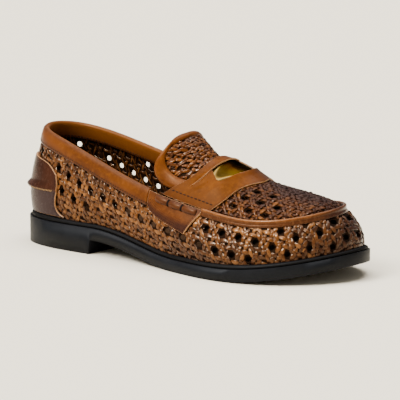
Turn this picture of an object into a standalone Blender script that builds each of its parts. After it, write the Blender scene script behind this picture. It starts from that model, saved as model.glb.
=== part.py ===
"""Woven leather loafer, right shoe, built as separate named pieces in metres, +Z up.

The toe points to +X, the outer side of the foot lies to -Y and the floor is z = 0.
Tables and functions work in millimetres measured from the back of the heel.
"""

import math
from collections import namedtuple

import bmesh
import bpy
import numpy as np
from mathutils import Vector
from mathutils.geometry import delaunay_2d_cdt

# Driving sizes in millimetres
MM = 0.001
SOLE_LENGTH = 266.0
ORIGIN_X = 131.65
ORIGIN_Y = 1.1
GAP = 0.3
SOLE_THICKNESS = 8.0
HEEL_BREAST = 76.0
BREAST_SLOPE = 1.6
SHANK_RISE = 10.0
BALL_BACK = 154.0
BALL_FRONT = 185.0
TOE_SPRING = 11.0
SOLE_EDGE_ROUND = 0.9
FOOT_INSET = 4.5
WELT_INSET = 1.2
WELT_HEIGHT = 2.4
WELT_HEEL_EXTRA = 1.6
INSOLE_INSET = 6.7
INSOLE_THICKNESS = 2.4
LEATHER = 1.6
TRIM = 1.3
STRIP_RISE = 0.7
HOLE_RADIUS = 0.215
WING_EASE = 0.6
COLLAR_WIDTH = 10.3
COLLAR_INNER = 7.0
COLLAR_END = 130.0
APRON_BAND = 4.2
APRON_CORD = 1.5
APRON_START = 181.0
PLUG_BACK = 170.0
SPUR_HEIGHT = 21.5
SPUR_REACH = 3.4
SPUR_HALF_LENGTH = 40.0
STATIONS = 48

# Last sections round the sole edge, from the heel along the outer side to the toe and back
Section = namedtuple("Section", "name x y swell lean edge_x edge_y edge_z")
SECTIONS = (
    Section("heel", 0.0, 0.0, 3.6, 16.0, 12.5, 0.0, 80.5),
    Section("heel_corner_outer", 9.5, -21.0, 3.2, 16.0, 20.0, -14.5, 78.8),
    Section("heel_side_outer", 34.0, -32.0, 2.6, 12.0, 40.0, -22.5, 74.5),
    Section("waist_back_outer", 72.0, -34.0, 2.6, 10.0, 73.0, -26.5, 64.8),
    Section("waist_outer", 110.0, -35.5, 2.6, 14.0, 108.0, -29.0, 54.0),
    Section("shank_outer", 145.0, -41.0, 2.6, 26.0, 142.0, -31.0, 46.0),
    Section("ball_outer", 182.0, -47.5, 2.0, 42.0, 178.0, -32.0, 40.0),
    Section("vamp_outer", 212.0, -45.0, 1.5, 50.0, 207.0, -30.5, 37.2),
    Section("toe_corner_outer", 239.0, -31.5, 1.5, 50.0, 230.0, -20.5, 38.8),
    Section("toe_quarter_outer", 258.0, -10.0, 1.5, 50.0, 243.5, -6.0, 41.8),
    Section("toe", 266.0, 13.0, 1.5, 50.0, 248.5, 9.0, 43.8),
    Section("toe_quarter_inner", 259.0, 33.0, 1.5, 50.0, 245.0, 22.5, 44.2),
    Section("toe_corner_inner", 241.0, 45.5, 1.5, 50.0, 232.5, 32.0, 43.2),
    Section("vamp_inner", 214.0, 50.0, 1.5, 50.0, 208.0, 36.0, 42.0),
    Section("ball_inner", 185.0, 47.0, 2.0, 42.0, 180.0, 34.5, 45.0),
    Section("shank_inner", 147.0, 36.0, 2.6, 26.0, 143.0, 29.5, 52.0),
    Section("waist_inner", 111.0, 29.0, 2.6, 14.0, 109.0, 25.5, 60.5),
    Section("waist_back_inner", 73.0, 29.5, 2.6, 10.0, 73.5, 24.0, 69.2),
    Section("heel_side_inner", 34.0, 31.0, 2.6, 12.0, 40.0, 21.5, 76.5),
    Section("heel_corner_inner", 9.5, 21.0, 3.2, 16.0, 20.0, 14.0, 79.8),
)
TOE = 10

# Weave counts at the foot of each outer section and their change per mm up the wall
Weave = namedtuple("Weave", "name along along_rise row row_rise")
WEAVE = (
    Weave("heel", -3.55, -0.019, 4.18, -0.066),
    Weave("heel_corner", -1.37, -0.022, 3.53, -0.072),
    Weave("heel_side", 0.73, -0.028, 3.05, -0.078),
    Weave("waist_back", 3.39, -0.021, 2.13, -0.083),
    Weave("waist", 6.26, -0.014, 1.67, -0.086),
    Weave("shank", 9.10, -0.022, 1.59, -0.087),
    Weave("ball", 11.59, -0.027, 1.01, -0.081),
    Weave("vamp", 13.78, -0.025, 0.57, -0.080),
    Weave("toe_corner", 16.25, -0.045, -0.42, -0.075),
    Weave("toe_quarter", 18.29, -0.070, -2.43, -0.040),
    Weave("toe", 18.97, -0.082, -4.50, 0.000),
)
WEAVE_AXIS_ROW = -4.5

# Height of the apron along its middle
Ridge = namedtuple("Ridge", "x z")
RIDGE = (
    Ridge(130.0, 75.5),
    Ridge(150.0, 70.6),
    Ridge(156.0, 69.3),
    Ridge(166.0, 67.5),
    Ridge(176.0, 64.5),
    Ridge(188.0, 59.7),
    Ridge(200.0, 56.6),
    Ridge(214.0, 54.4),
    Ridge(225.0, 52.4),
    Ridge(236.0, 49.9),
    Ridge(243.0, 47.4),
    Ridge(248.5, 43.8),
)

# Heel counter front edge: distance from the heel back and height up the wall
CounterEdge = namedtuple("CounterEdge", "x up")
COUNTER = (
    CounterEdge(50.0, 3.6),
    CounterEdge(45.0, 6.5),
    CounterEdge(42.0, 14.0),
    CounterEdge(42.5, 22.0),
    CounterEdge(39.5, 32.0),
    CounterEdge(30.0, 38.5),
    CounterEdge(18.0, 41.5),
)
COUNTER_TOP = 43.0

# Side wing lower and front edge: distance from the heel back and height up the wall
WingEdge = namedtuple("WingEdge", "x up")
WING = (
    WingEdge(130.6, 30.5),
    WingEdge(134.0, 27.4),
    WingEdge(143.5, 24.0),
    WingEdge(156.0, 20.8),
    WingEdge(166.5, 18.0),
    WingEdge(172.0, 26.0),
    WingEdge(176.5, 33.0),
)

# Saddle edges across the instep, from the outer seam (-1) to the inner seam (+1)
SaddleEdge = namedtuple("SaddleEdge", "across back front")
SADDLE = (
    SaddleEdge(-0.985, 138.0, 177.5),
    SaddleEdge(-0.85, 145.0, 182.2),
    SaddleEdge(-0.70, 152.3, 185.4),
    SaddleEdge(-0.40, 158.2, 190.0),
    SaddleEdge(0.00, 159.6, 196.0),
    SaddleEdge(0.40, 158.6, 191.0),
    SaddleEdge(0.70, 154.0, 187.0),
    SaddleEdge(0.85, 148.5, 184.5),
    SaddleEdge(0.985, 142.0, 181.0),
)
# Saddle slot and the plate under it, as shares across and along the saddle
SLOT_SHARE = 0.42
SLOT_HALF_SHARE = 0.150
SLOT_HALF_ACROSS = 0.55
SLIT_HALF_SHARE = 0.014
SLIT_HALF_ACROSS = 0.80
SLIT_BACKSET = 0.15
PLATE_HALF_SHARE = 0.185
PLATE_HALF_ACROSS = 0.62
PLATE_THICKNESS = 0.7
SADDLE_LIFT = 1.6
SADDLE_FRONT_SHARE = 0.36
SADDLE_THICKNESS = 1.0

# Rolled ends of the saddle
ROLL_START = 136.5
ROLL_END = 171.0
ROLL_WAVES = 3
ROLL_HALF_WIDTH = 2.6
ROLL_HEIGHT = 2.5

# Tongue sections from under the saddle to the tip
TongueRow = namedtuple("TongueRow", "x z half_width edge_x edge_z")
TONGUE = (
    TongueRow(169.4, 66.2, 22.0, 169.4, 51.5),
    TongueRow(163.5, 67.6, 23.5, 161.0, 51.3),
    TongueRow(158.6, 69.8, 25.0, 150.0, 51.8),
    TongueRow(154.2, 73.4, 26.0, 138.5, 53.2),
    TongueRow(150.2, 76.9, 26.4, 130.8, 58.0),
    TongueRow(146.2, 80.0, 26.0, 127.8, 64.2),
    TongueRow(142.3, 82.4, 24.0, 128.8, 70.5),
    TongueRow(139.4, 84.0, 19.0, 131.3, 77.0),
    TongueRow(137.6, 84.9, 12.0, 133.8, 82.4),
    TongueRow(136.6, 85.3, 5.0, 135.8, 85.0),
)
TONGUE_BINDING = 4.4
TONGUE_MIDDLE = -0.5


def spline(knots, table, at, closed):
    """Cubic spline through the table rows: closed runs round to 1.0, open has natural ends."""
    rows = np.asarray(table, float)
    count = len(rows)
    ends = np.append(knots, 1.0) if closed else np.asarray(knots, float)
    step = np.diff(ends)
    system = np.eye(count)
    right = np.zeros_like(rows)
    for i in range(count):
        if not closed and i in (0, count - 1):
            continue
        before = (i - 1) % count
        after = (i + 1) % count
        system[i] = 0.0
        system[i, before] += step[before]
        system[i, i] += 2.0 * (step[before] + step[i])
        system[i, after] += step[i]
        slope_on = (rows[after] - rows[i]) / step[i]
        slope_back = (rows[i] - rows[before]) / step[before]
        right[i] = 6.0 * (slope_on - slope_back)
    bend = np.linalg.solve(system, right)
    at = np.mod(at, 1.0) if closed else np.clip(at, ends[0], ends[-1])
    low = np.clip(np.searchsorted(ends, at, side="right") - 1, 0, len(step) - 1)
    high = (low + 1) % count
    width = step[low][:, None]
    a = (ends[low + 1] - at)[:, None] / width
    b = 1.0 - a
    curve = (a ** 3 - a) * bend[low] + (b ** 3 - b) * bend[high]
    return a * rows[low] + b * rows[high] + curve * width ** 2 / 6.0


SHAPE = np.array([row[1:] for row in SECTIONS])
CHORDS = np.linalg.norm(np.roll(SHAPE[:, :2], -1, axis=0) - SHAPE[:, :2], axis=1)
KNOTS = (np.cumsum(CHORDS) - CHORDS) / CHORDS.sum()
S_TOE = KNOTS[TOE]
WEAVE_KNOTS = np.append(KNOTS, 1.0)


def weave_rows():
    """Weave counts of every section: the inner side mirrors the outer one about the toe."""
    outer = [[row.along, row.along_rise, row.row, row.row_rise] for row in WEAVE]
    inner = [[a, b, 2.0 * WEAVE_AXIS_ROW - c, -d] for a, b, c, d in outer[-2::-1]]
    return np.array(outer + inner)


WEAVE_ROWS = weave_rows()


def sole_bottom(x):
    """Underside of the sole without its heel: shank rise behind the ball, spring at the toe."""
    back = np.clip((BALL_BACK - x) / (BALL_BACK - HEEL_BREAST), 0.0, 1.0)
    front = np.clip((x - BALL_FRONT) / (SOLE_LENGTH - BALL_FRONT), 0.0, 1.0)
    return SHANK_RISE * back * back * (3.0 - 2.0 * back) + TOE_SPRING * front ** 2


def sole_top(x):
    """Upper face of the sole."""
    return sole_bottom(x) + SOLE_THICKNESS


def section(s):
    """Interpolated section table at perimeter places s."""
    return spline(KNOTS, SHAPE, np.atleast_1d(np.asarray(s, float)), True)


def plan_normal(s):
    """Outward direction of the sole edge in plan."""
    small = 1e-4
    run = section(np.asarray(s) + small)[:, :2] - section(np.asarray(s) - small)[:, :2]
    out = np.stack([run[:, 1], -run[:, 0], np.zeros(len(run))], axis=1)
    return out / np.linalg.norm(out, axis=1)[:, None]


def sole_edge(s, inset):
    """Points of the sole edge moved inward by inset, at z = 0."""
    s = np.atleast_1d(np.asarray(s, float))
    edge = np.column_stack([section(s)[:, :2], np.zeros(len(s))])
    return edge - plan_normal(s) * np.broadcast_to(inset, s.shape)[:, None]


def wall(s, t):
    """Outer face of the upper from its foot (t = 0) to its collar or apron seam (t = 1)."""
    s = np.atleast_1d(np.asarray(s, float))
    t = np.broadcast_to(np.asarray(t, float), s.shape)[:, None]
    row = section(s)
    out = plan_normal(s)
    up = np.array([0.0, 0.0, 1.0])
    foot = sole_edge(s, FOOT_INSET)
    foot[:, 2] = sole_top(foot[:, 0]) + GAP
    edge = row[:, 4:7]
    tall = (edge[:, 2] - foot[:, 2])[:, None]
    lean = np.radians(row[:, 3])[:, None]
    low = foot + out * (1.6 * row[:, 2:3]) + up * 0.36 * tall
    high = edge - (up * np.cos(lean) - out * np.sin(lean)) * 0.40 * tall
    u = 1.0 - t
    return u ** 3 * foot + 3.0 * u * u * t * low + 3.0 * u * t * t * high + t ** 3 * edge


def wall_normal(s, t):
    """Outward unit normal of the upper's wall, level at its foot."""
    small = 1e-4
    s = np.atleast_1d(np.asarray(s, float))
    t = np.broadcast_to(np.asarray(t, float), s.shape)
    high = np.minimum(t + small, 1.0)
    low = np.maximum(t - small, 0.0)
    normal = np.cross(wall(s + small, t) - wall(s - small, t), wall(s, high) - wall(s, low))
    normal[:, 2] = np.where(t < 1e-6, 0.0, normal[:, 2])
    return normal / np.linalg.norm(normal, axis=1)[:, None]


GRID_S = np.linspace(0.0, 1.0, 401)
GRID_T = np.linspace(0.0, 1.0, 41)


def wall_lengths():
    """Running length along the foot and up the wall on a fine grid."""
    foot = wall(GRID_S, 0.0)
    along = np.concatenate([[0.0], np.cumsum(np.linalg.norm(np.diff(foot, axis=0), axis=1))])
    rows = [wall(GRID_S, t) for t in GRID_T]
    lifts = [np.linalg.norm(b - a, axis=1) for a, b in zip(rows[:-1], rows[1:])]
    return along, np.vstack([np.zeros(len(GRID_S)), np.cumsum(lifts, axis=0)]).T


ALONG, UP = wall_lengths()
AROUND = ALONG[-1]


def wall_height(s):
    """Length up the wall from the foot to the edge."""
    return np.interp(np.mod(s, 1.0 + 1e-12), GRID_S, UP[:, -1])


def up_to_t(s, up):
    """Wall parameter t at a length up the wall."""
    s = np.asarray(s, float)
    place = np.clip(s, 0.0, 1.0) * (len(GRID_S) - 1)
    low = np.minimum(place.astype(int), len(GRID_S) - 2)
    part = (place - low)[:, None]
    table = UP[low] * (1.0 - part) + UP[low + 1] * part
    return np.array([np.interp(h, row, GRID_T) for h, row in zip(up, table)])


def wall_at(flat):
    """Wall parameters (s, t) of points given as (length along the foot, length up the wall)."""
    s = np.interp(np.mod(flat[:, 0], AROUND), ALONG, GRID_S)
    return s, up_to_t(s, flat[:, 1])


def foot_place(x, outer):
    """Length along the foot where the upper's foot reaches x on the outer or inner side."""
    foot = wall(GRID_S, 0.0)[:, 0]
    front = int(np.argmax(foot))
    if outer:
        back = int(np.argmin(foot[:front // 2]))
        return float(np.interp(x, foot[back:front], ALONG[back:front]))
    back = front + int(np.argmin(foot[front:]))
    return float(np.interp(-x, -foot[front:back + 1], ALONG[front:back + 1]))


def seam_lines():
    """Collar and apron seam as functions of x on the outer and inner side."""
    fine = np.linspace(0.0, 1.0, 2001)
    edge = section(fine)[:, 4:7]
    tip = int(np.argmax(edge[:, 0]))
    return edge[:tip + 1], edge[tip:][::-1], fine[:tip + 1], fine[tip:][::-1]


SEAM_OUTER, SEAM_INNER, SEAM_S_OUTER, SEAM_S_INNER = seam_lines()
RIDGE_ROWS = np.array(RIDGE)


def ridge_height(x):
    """Height of the apron along its middle."""
    knots = RIDGE_ROWS[:, 0]
    return spline(knots, RIDGE_ROWS[:, 1:], np.atleast_1d(x), False)[:, 0]


def apron_frame(x):
    """Seam points on both sides at x: (outer y, z, inner y, z)."""
    outer = [np.interp(x, SEAM_OUTER[:, 0], SEAM_OUTER[:, k]) for k in (1, 2)]
    inner = [np.interp(x, SEAM_INNER[:, 0], SEAM_INNER[:, k]) for k in (1, 2)]
    return outer[0], outer[1], inner[0], inner[1]


def apron(x, across):
    """Outer face of the apron: across runs from the outer seam (-1) to the inner seam (+1)."""
    x = np.atleast_1d(np.asarray(x, float))
    across = np.broadcast_to(np.asarray(across, float), x.shape)
    y0, z0, y1, z1 = apron_frame(x)
    y = 0.5 * (y0 + y1) + 0.5 * (y1 - y0) * across
    level = 0.5 * (z0 + z1) + 0.5 * (z1 - z0) * across
    crown = np.maximum(ridge_height(x) - 0.5 * (z0 + z1), 0.0)
    return np.stack([x, y, level + crown * (1.0 - across ** 2)], axis=1)


def apron_across(x, y):
    """Share across the apron of plan points."""
    y0, _, y1, _ = apron_frame(x)
    half = np.maximum(0.5 * (y1 - y0), 1e-6)
    return np.clip((y - 0.5 * (y0 + y1)) / half, -1.0, 1.0)


def apron_plan(flat):
    """Outer face of the apron over plan points (x, y)."""
    return apron(flat[:, 0], apron_across(flat[:, 0], flat[:, 1]))


def apron_normal(flat):
    """Upward unit normal of the apron over plan points."""
    small = 0.05
    inside = flat.copy()
    y0, _, y1, _ = apron_frame(flat[:, 0])
    middle = 0.5 * (y0 + y1)
    inside[:, 1] = middle + (flat[:, 1] - middle) * 0.985
    inside[:, 0] = np.minimum(inside[:, 0], SEAM_OUTER[-1, 0] - 1.0)
    run_x = apron_plan(inside + [small, 0.0]) - apron_plan(inside - [small, 0.0])
    run_y = apron_plan(inside + [0.0, small]) - apron_plan(inside - [0.0, small])
    normal = np.cross(run_x, run_y)
    return normal / np.linalg.norm(normal, axis=1)[:, None]


TONGUE_ROWS = np.array(TONGUE)
TONGUE_STEPS = np.linalg.norm(np.diff(TONGUE_ROWS[:, :2], axis=0), axis=1)
TONGUE_KNOTS = np.concatenate([[0.0], np.cumsum(TONGUE_STEPS)])
TONGUE_LENGTH = TONGUE_KNOTS[-1]


def tongue(flat):
    """Outer face of the tongue over (offset sideways, length from its base)."""
    row = spline(TONGUE_KNOTS, TONGUE_ROWS, flat[:, 1], False)
    share = (flat[:, 0] / row[:, 2]) ** 2
    x = row[:, 0] + (row[:, 3] - row[:, 0]) * share
    z = row[:, 1] + (row[:, 4] - row[:, 1]) * share
    return np.stack([x, flat[:, 0] + TONGUE_MIDDLE, z], axis=1)


def tongue_normal(flat):
    """Unit normal of the tongue's outer face."""
    small = 0.05
    base = np.column_stack([flat[:, 0], np.clip(flat[:, 1], small, TONGUE_LENGTH - small)])
    side = tongue(base + [small, 0.0]) - tongue(base - [small, 0.0])
    run = tongue(base + [0.0, small]) - tongue(base - [0.0, small])
    normal = np.cross(side, run)
    return normal / np.linalg.norm(normal, axis=1)[:, None]


def tongue_outline(inset, start):
    """Outline of the tongue in its flat coordinates from a start length, moved inward."""
    place = TONGUE_LENGTH * np.sin(np.linspace(0.0, 0.5 * math.pi, 23))
    place = np.append(start, place[place > start + 0.6])
    half = spline(TONGUE_KNOTS, TONGUE_ROWS[:, 2:3], place, False)[:, 0] - inset
    tip = TONGUE_LENGTH - inset
    keep = (place < tip - 0.4) & (half > 2.5)
    side = np.column_stack([half[keep], place[keep]])
    crown = np.array([[side[-1, 0] * 0.55, tip], [-side[-1, 0] * 0.55, tip]])
    return np.vstack([side, crown, (side * [-1.0, 1.0])[::-1]])


# Flat polygon helpers
def inside_polygon(points, polygon):
    """Which points lie inside a closed polygon."""
    hits = np.zeros(len(points), bool)
    for a, b in zip(polygon, np.roll(polygon, -1, axis=0)):
        spans = (a[1] > points[:, 1]) != (b[1] > points[:, 1])
        rise = b[1] - a[1] if b[1] != a[1] else 1e-12
        cross = a[0] + (points[:, 1] - a[1]) * (b[0] - a[0]) / rise
        hits ^= spans & (points[:, 0] < cross)
    return hits


def edge_distance(points, polygon):
    """Distance of points from the edges of a closed polygon."""
    best = np.full(len(points), np.inf)
    for a, b in zip(polygon, np.roll(polygon, -1, axis=0)):
        run = b - a
        part = np.clip((points - a) @ run / max(run @ run, 1e-12), 0.0, 1.0)
        best = np.minimum(best, np.linalg.norm(points - a - part[:, None] * run, axis=1))
    return best


def clearance(points, polygon):
    """Signed distance outside a polygon."""
    away = edge_distance(points, polygon)
    return np.where(inside_polygon(points, polygon), -away, away)


def thin_points(points, least):
    """Points with close neighbours left out."""
    kept = []
    for point in points:
        if all(np.hypot(*(point - other)) >= least for other in kept):
            kept.append(point)
    return np.array(kept).reshape(-1, 2)


def triangles(outline, holes, fill):
    """Flat triangles inside an outline and outside its holes; points come in the given order."""
    loops = [outline] + list(holes)
    points = np.vstack(loops + [fill]) if len(fill) else np.vstack(loops)
    edges = []
    start = 0
    for loop in loops:
        count = len(loop)
        edges += [(start + k, start + (k + 1) % count) for k in range(count)]
        start += count
    result = delaunay_2d_cdt([Vector(point) for point in points.tolist()], edges, [], 1, 1e-6)
    origin = [item[0] for item in result[3]]
    faces = np.array([[origin[k] for k in face] for face in result[2]])
    middle = points[faces].mean(axis=1)
    keep = np.ones(len(faces), bool)
    for hole in holes:
        keep &= ~inside_polygon(middle, hole)
    faces = faces[keep]
    a, b, c = (points[faces[:, k]] for k in range(3))
    turn = (b[:, 0] - a[:, 0]) * (c[:, 1] - a[:, 1]) - (b[:, 1] - a[:, 1]) * (c[:, 0] - a[:, 0])
    faces[turn < 0] = faces[turn < 0][:, ::-1]
    return points, faces


def sheet(outline, holes, fill, fill_inner, place, bare=()):
    """Closed wall over a flat outline with holes.

    place(points, outer) gives the 3-D points of the outer or inner face.
    Outline edges listed in bare get no rim, so that another sheet can join there.
    """
    flat, front = triangles(outline, holes, fill)
    flat_inner, rear = triangles(outline, holes, fill_inner)
    points = np.vstack([place(flat, True), place(flat_inner, False)])
    shift = len(flat)
    faces = [tuple(face) for face in front.tolist()]
    faces += [tuple(face[::-1]) for face in (rear + shift).tolist()]
    start = 0
    for order, loop in enumerate([outline] + list(holes)):
        count = len(loop)
        for k in range(count):
            if order == 0 and k in bare:
                continue
            a = start + k
            b = start + (k + 1) % count
            rim = (a, b, b + shift, a + shift) if order else (b, a, a + shift, b + shift)
            faces.append(rim)
        start += count
    return points, faces


def merge(*pieces):
    """Points and faces of several pieces as one list."""
    points = []
    faces = []
    for piece_points, piece_faces in pieces:
        shift = len(points)
        points += list(piece_points)
        faces += [tuple(k + shift for k in face) for face in piece_faces]
    return np.array(points), faces


def tube(sections, capped):
    """Solid through closed cross sections, either capped at its ends or joined in a ring."""
    rings = np.asarray(sections)
    count = len(rings)
    sides = rings.shape[1]
    faces = []
    for i in range(count - 1 if capped else count):
        j = (i + 1) % count
        for k in range(sides):
            n = (k + 1) % sides
            faces.append((i * sides + k, j * sides + k, j * sides + n, i * sides + n))
    if capped:
        last = (count - 1) * sides
        faces.append(tuple(range(sides)))
        faces.append(tuple(last + k for k in reversed(range(sides))))
    return rings.reshape(-1, 3), faces


def slab(rings):
    """Solid through rings round the last from the lowest to the highest, closed by paired caps."""
    rings = np.asarray(rings)
    count = rings.shape[1]
    half = count // 2
    top = (len(rings) - 1) * count
    faces = []
    for i in range(len(rings) - 1):
        for k in range(count):
            n = (k + 1) % count
            low = i * count
            high = low + count
            faces.append((low + k, low + n, high + n, high + k))
    for k in range(half):
        pair = [k, k + 1, (count - k - 1) % count, (count - k) % count]
        loop = list(dict.fromkeys(pair))
        faces.append(tuple(top + v for v in loop))
        faces.append(tuple(reversed(loop)))
    return rings.reshape(-1, 3), faces


def edge_place(x, outer):
    """Perimeter place where the sole edge reaches x on the outer or inner side."""
    fine = np.linspace(0.0, 1.0, 2001)
    edge = section(fine)[:, 0]
    front = int(np.argmax(edge))
    if outer:
        return float(np.interp(x, edge[:front], fine[:front]))
    return float(np.interp(-x, -edge[front:], fine[front:]))


def stations(cuts):
    """Perimeter places in mirrored pairs that pass through the pairs at the given x."""
    outer_marks = [0.0] + [edge_place(x, True) for x in cuts] + [S_TOE]
    inner_marks = [1.0] + [edge_place(x, False) for x in cuts] + [S_TOE]
    outer = []
    inner = []
    for k in range(len(outer_marks) - 1):
        share = (outer_marks[k + 1] - outer_marks[k]) / S_TOE
        count = max(1, round(STATIONS * share))
        outer += list(np.linspace(outer_marks[k], outer_marks[k + 1], count, endpoint=False))
        inner += list(np.linspace(inner_marks[k], inner_marks[k + 1], count, endpoint=False))
    return np.array(outer + [S_TOE] + inner[:0:-1])


ROUND = stations(())


def raise_to(points, z):
    """Points with their height set."""
    lifted = points.copy()
    lifted[:, 2] = z
    return lifted


def outsole():
    """Moulded sole with its heel: flat under the heel and the ball, arched between."""
    s = stations((HEEL_BREAST - BREAST_SLOPE, HEEL_BREAST))
    edge = sole_edge(s, 0.0)
    heel = edge[:, 0] < HEEL_BREAST - 0.5 * BREAST_SLOPE
    low = np.where(heel, 0.0, sole_bottom(edge[:, 0]))
    inner = sole_edge(s, SOLE_EDGE_ROUND)
    high = sole_top(edge[:, 0])
    rings = [
        raise_to(inner, low),
        raise_to(edge, low + SOLE_EDGE_ROUND),
        raise_to(edge, high - SOLE_EDGE_ROUND),
        raise_to(inner, sole_top(inner[:, 0])),
    ]
    return slab(rings)


def welt():
    """Storm strip lying on the sole's ledge round the foot of the upper."""
    heel = np.clip(1.0 - section(ROUND)[:, 0] / 60.0, 0.0, 1.0)
    tall = WELT_HEIGHT + WELT_HEEL_EXTRA * heel
    inner_low = sole_edge(ROUND, FOOT_INSET - 1.5 * GAP)
    outer_low = sole_edge(ROUND, WELT_INSET)
    base = sole_top(outer_low[:, 0]) + GAP
    t_top = up_to_t(ROUND, tall)
    leaning = wall(ROUND, t_top) + wall_normal(ROUND, t_top) * (1.5 * GAP)
    inset = 0.8 + 0.6 * heel
    rings = np.stack([
        raise_to(inner_low, sole_top(inner_low[:, 0]) + GAP),
        raise_to(outer_low, base),
        raise_to(sole_edge(ROUND, WELT_INSET + inset), base + tall),
        raise_to(leaning, base + tall),
    ], axis=1)
    return tube(rings, False)


def insole():
    """Footbed inside the upper on the sole."""
    edge = sole_edge(ROUND, INSOLE_INSET)
    base = sole_top(edge[:, 0]) + GAP
    return slab([raise_to(edge, base), raise_to(edge, base + INSOLE_THICKNESS)])


# Weave of the upper
def weave_counts(flat):
    """Weave counts (along, row) at flat places of the wall."""
    s = np.interp(flat[:, 0], ALONG, GRID_S)
    row = spline(WEAVE_KNOTS, WEAVE_ROWS, s, False)
    up = flat[:, 1]
    return np.column_stack([row[:, 0] + row[:, 1] * up, row[:, 2] + row[:, 3] * up])


OFF_WALL = (-99.0, -99.0)


def unweave(counts):
    """Flat places of the wall for weave counts."""
    along, up = np.meshgrid(np.arange(0.0, AROUND, 4.0), np.arange(0.0, 62.0, 4.0))
    seeds = np.column_stack([along.ravel(), up.ravel()])
    seed_counts = weave_counts(seeds)
    gaps = np.linalg.norm(counts[:, None] - seed_counts[None], axis=2)
    flat = seeds[np.argmin(gaps, axis=1)]
    step = 0.05
    for _ in range(8):
        here = weave_counts(flat)
        run = (weave_counts(flat + [step, 0.0]) - here) / step
        lift = (weave_counts(flat + [0.0, step]) - here) / step
        turn = np.stack([run, lift], axis=2)
        move = np.linalg.solve(turn, (counts - here)[:, :, None])[:, :, 0]
        flat = np.clip(flat + np.clip(move, -5.0, 5.0), [0.5, -20.0], [AROUND - 0.5, 90.0])
    missed = np.linalg.norm(weave_counts(flat) - counts, axis=1) > 0.01
    flat[missed] = OFF_WALL
    return flat


def octagon(center, radius):
    """Eight points round a centre, anticlockwise."""
    angle = (np.arange(8) + 0.5) * math.pi / 4.0
    return center + radius * np.column_stack([np.cos(angle), np.sin(angle)])


def counter_polygon(outer, grow):
    """Heel counter half in flat wall coordinates, from the middle of the heel."""
    ends = [(foot_place(row.x, outer), row.up) for row in COUNTER]
    middle = 0.0 if outer else AROUND
    side = 1.0 if outer else -1.0
    rows = [(place + side * grow, up) for place, up in ends]
    return np.array([(middle, -9.0), (rows[0][0], -9.0)] + rows + [(middle, COUNTER_TOP)])


def wing_polygon(outer):
    """Side wing in flat wall coordinates, closed along the wall's edge."""
    low = [(foot_place(row.x, outer), row.up) for row in WING]
    reach = np.linspace(low[-1][0], low[0][0], 9)
    s = np.interp(reach, ALONG, GRID_S)
    top = list(zip(reach, wall_height(s)))
    loop = np.array(low + top)
    return loop if outer else loop[::-1]


def wall_clear(flat):
    """Distance of flat wall places from everything that lies on the wall."""
    s = np.interp(flat[:, 0], ALONG, GRID_S)
    x = section(s)[:, 4]
    band = np.where(x < COLLAR_END + 2.0, COLLAR_WIDTH, APRON_BAND)
    free = np.minimum(flat[:, 1] - WELT_HEIGHT, wall_height(s) - band - flat[:, 1])
    for outer in (True, False):
        free = np.minimum(free, clearance(flat, counter_polygon(outer, 0.0)))
        free = np.minimum(free, clearance(flat, wing_polygon(outer)) + WING_EASE)
    return free


def lattice(along, rows):
    """Whole counts of a weave as pairs."""
    grid = np.meshgrid(np.arange(*along), np.arange(*rows), indexing="ij")
    return np.column_stack([axis.ravel() for axis in grid]).astype(float)


def strips(counts, place, free, margin):
    """Raised points of the weave's strips: between the holes and where the strips cross."""
    points = []
    rises = []
    for shift, height in (((0.5, 0.0), 1.0), ((0.0, 0.5), 1.0), ((0.5, 0.5), 0.0)):
        spots = counts + shift
        flat = place(spots)
        over = np.where(np.mod(counts.sum(axis=1), 2.0) < 0.5, 1.35, 0.55)
        keep = free(flat) > margin
        points.append(flat[keep])
        rises.append((STRIP_RISE * (np.full(len(counts), height) if height else over))[keep])
    return np.vstack(points), np.concatenate(rises)


def mesh_fill(low, high, step, free, margin):
    """Even grid of flat points that keep a distance from the edges."""
    columns, rows = np.meshgrid(np.arange(low[0], high[0], step[0]), np.arange(low[1], high[1], step[1]))
    rows = rows + np.where(np.arange(columns.shape[1]) % 2, 0.5 * step[1], 0.0)
    points = np.column_stack([columns.ravel(), rows.ravel()])
    return points[free(points) > margin]


def loops_clear(outline, holes):
    """Function giving the least distance from an outline and its holes, negative outside."""
    def free(points):
        """Least distance of points."""
        best = -clearance(points, outline)
        for hole in holes:
            best = np.minimum(best, clearance(points, hole))
        return best
    return free


def blend_fill(strip, rise, extra, least):
    """Strip points with extra points added where none is near, and the rise of each."""
    if len(strip):
        near = np.min(np.linalg.norm(extra[:, None] - strip[None], axis=2), axis=1)
        extra = extra[near > least]
    return np.vstack([strip, extra]), np.concatenate([rise, np.zeros(len(extra))])


def seam_normal(s):
    """Mean outward direction of wall and apron along their seam."""
    edge = section(s)[:, 4:6]
    both = wall_normal(s, 1.0) + apron_normal(edge)
    return both / np.linalg.norm(both, axis=1)[:, None]


def seam_place(x, outer):
    """Perimeter place where the collar or seam reaches x."""
    if outer:
        return float(np.interp(x, SEAM_OUTER[:, 0], SEAM_S_OUTER))
    return float(np.interp(x, SEAM_INNER[:, 0], SEAM_S_INNER))


def wall_guards():
    """Flat points along everything that lies on the wall, so that the wall stays plain under it."""
    s = ROUND
    along = np.interp(s, GRID_S, ALONG)
    band = np.where(section(s)[:, 4] < COLLAR_END + 2.0, COLLAR_WIDTH, APRON_BAND)
    loops = [np.column_stack([along, wall_height(s) - band - 0.3])]
    for outer in (True, False):
        loops.append(even_loop(counter_polygon(outer, 0.0)[2:-1], 6.0)[:-6])
        loops.append(even_loop(wing_polygon(outer), 6.0))
    return thin_points(np.vstack(loops), 3.0)


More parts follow.
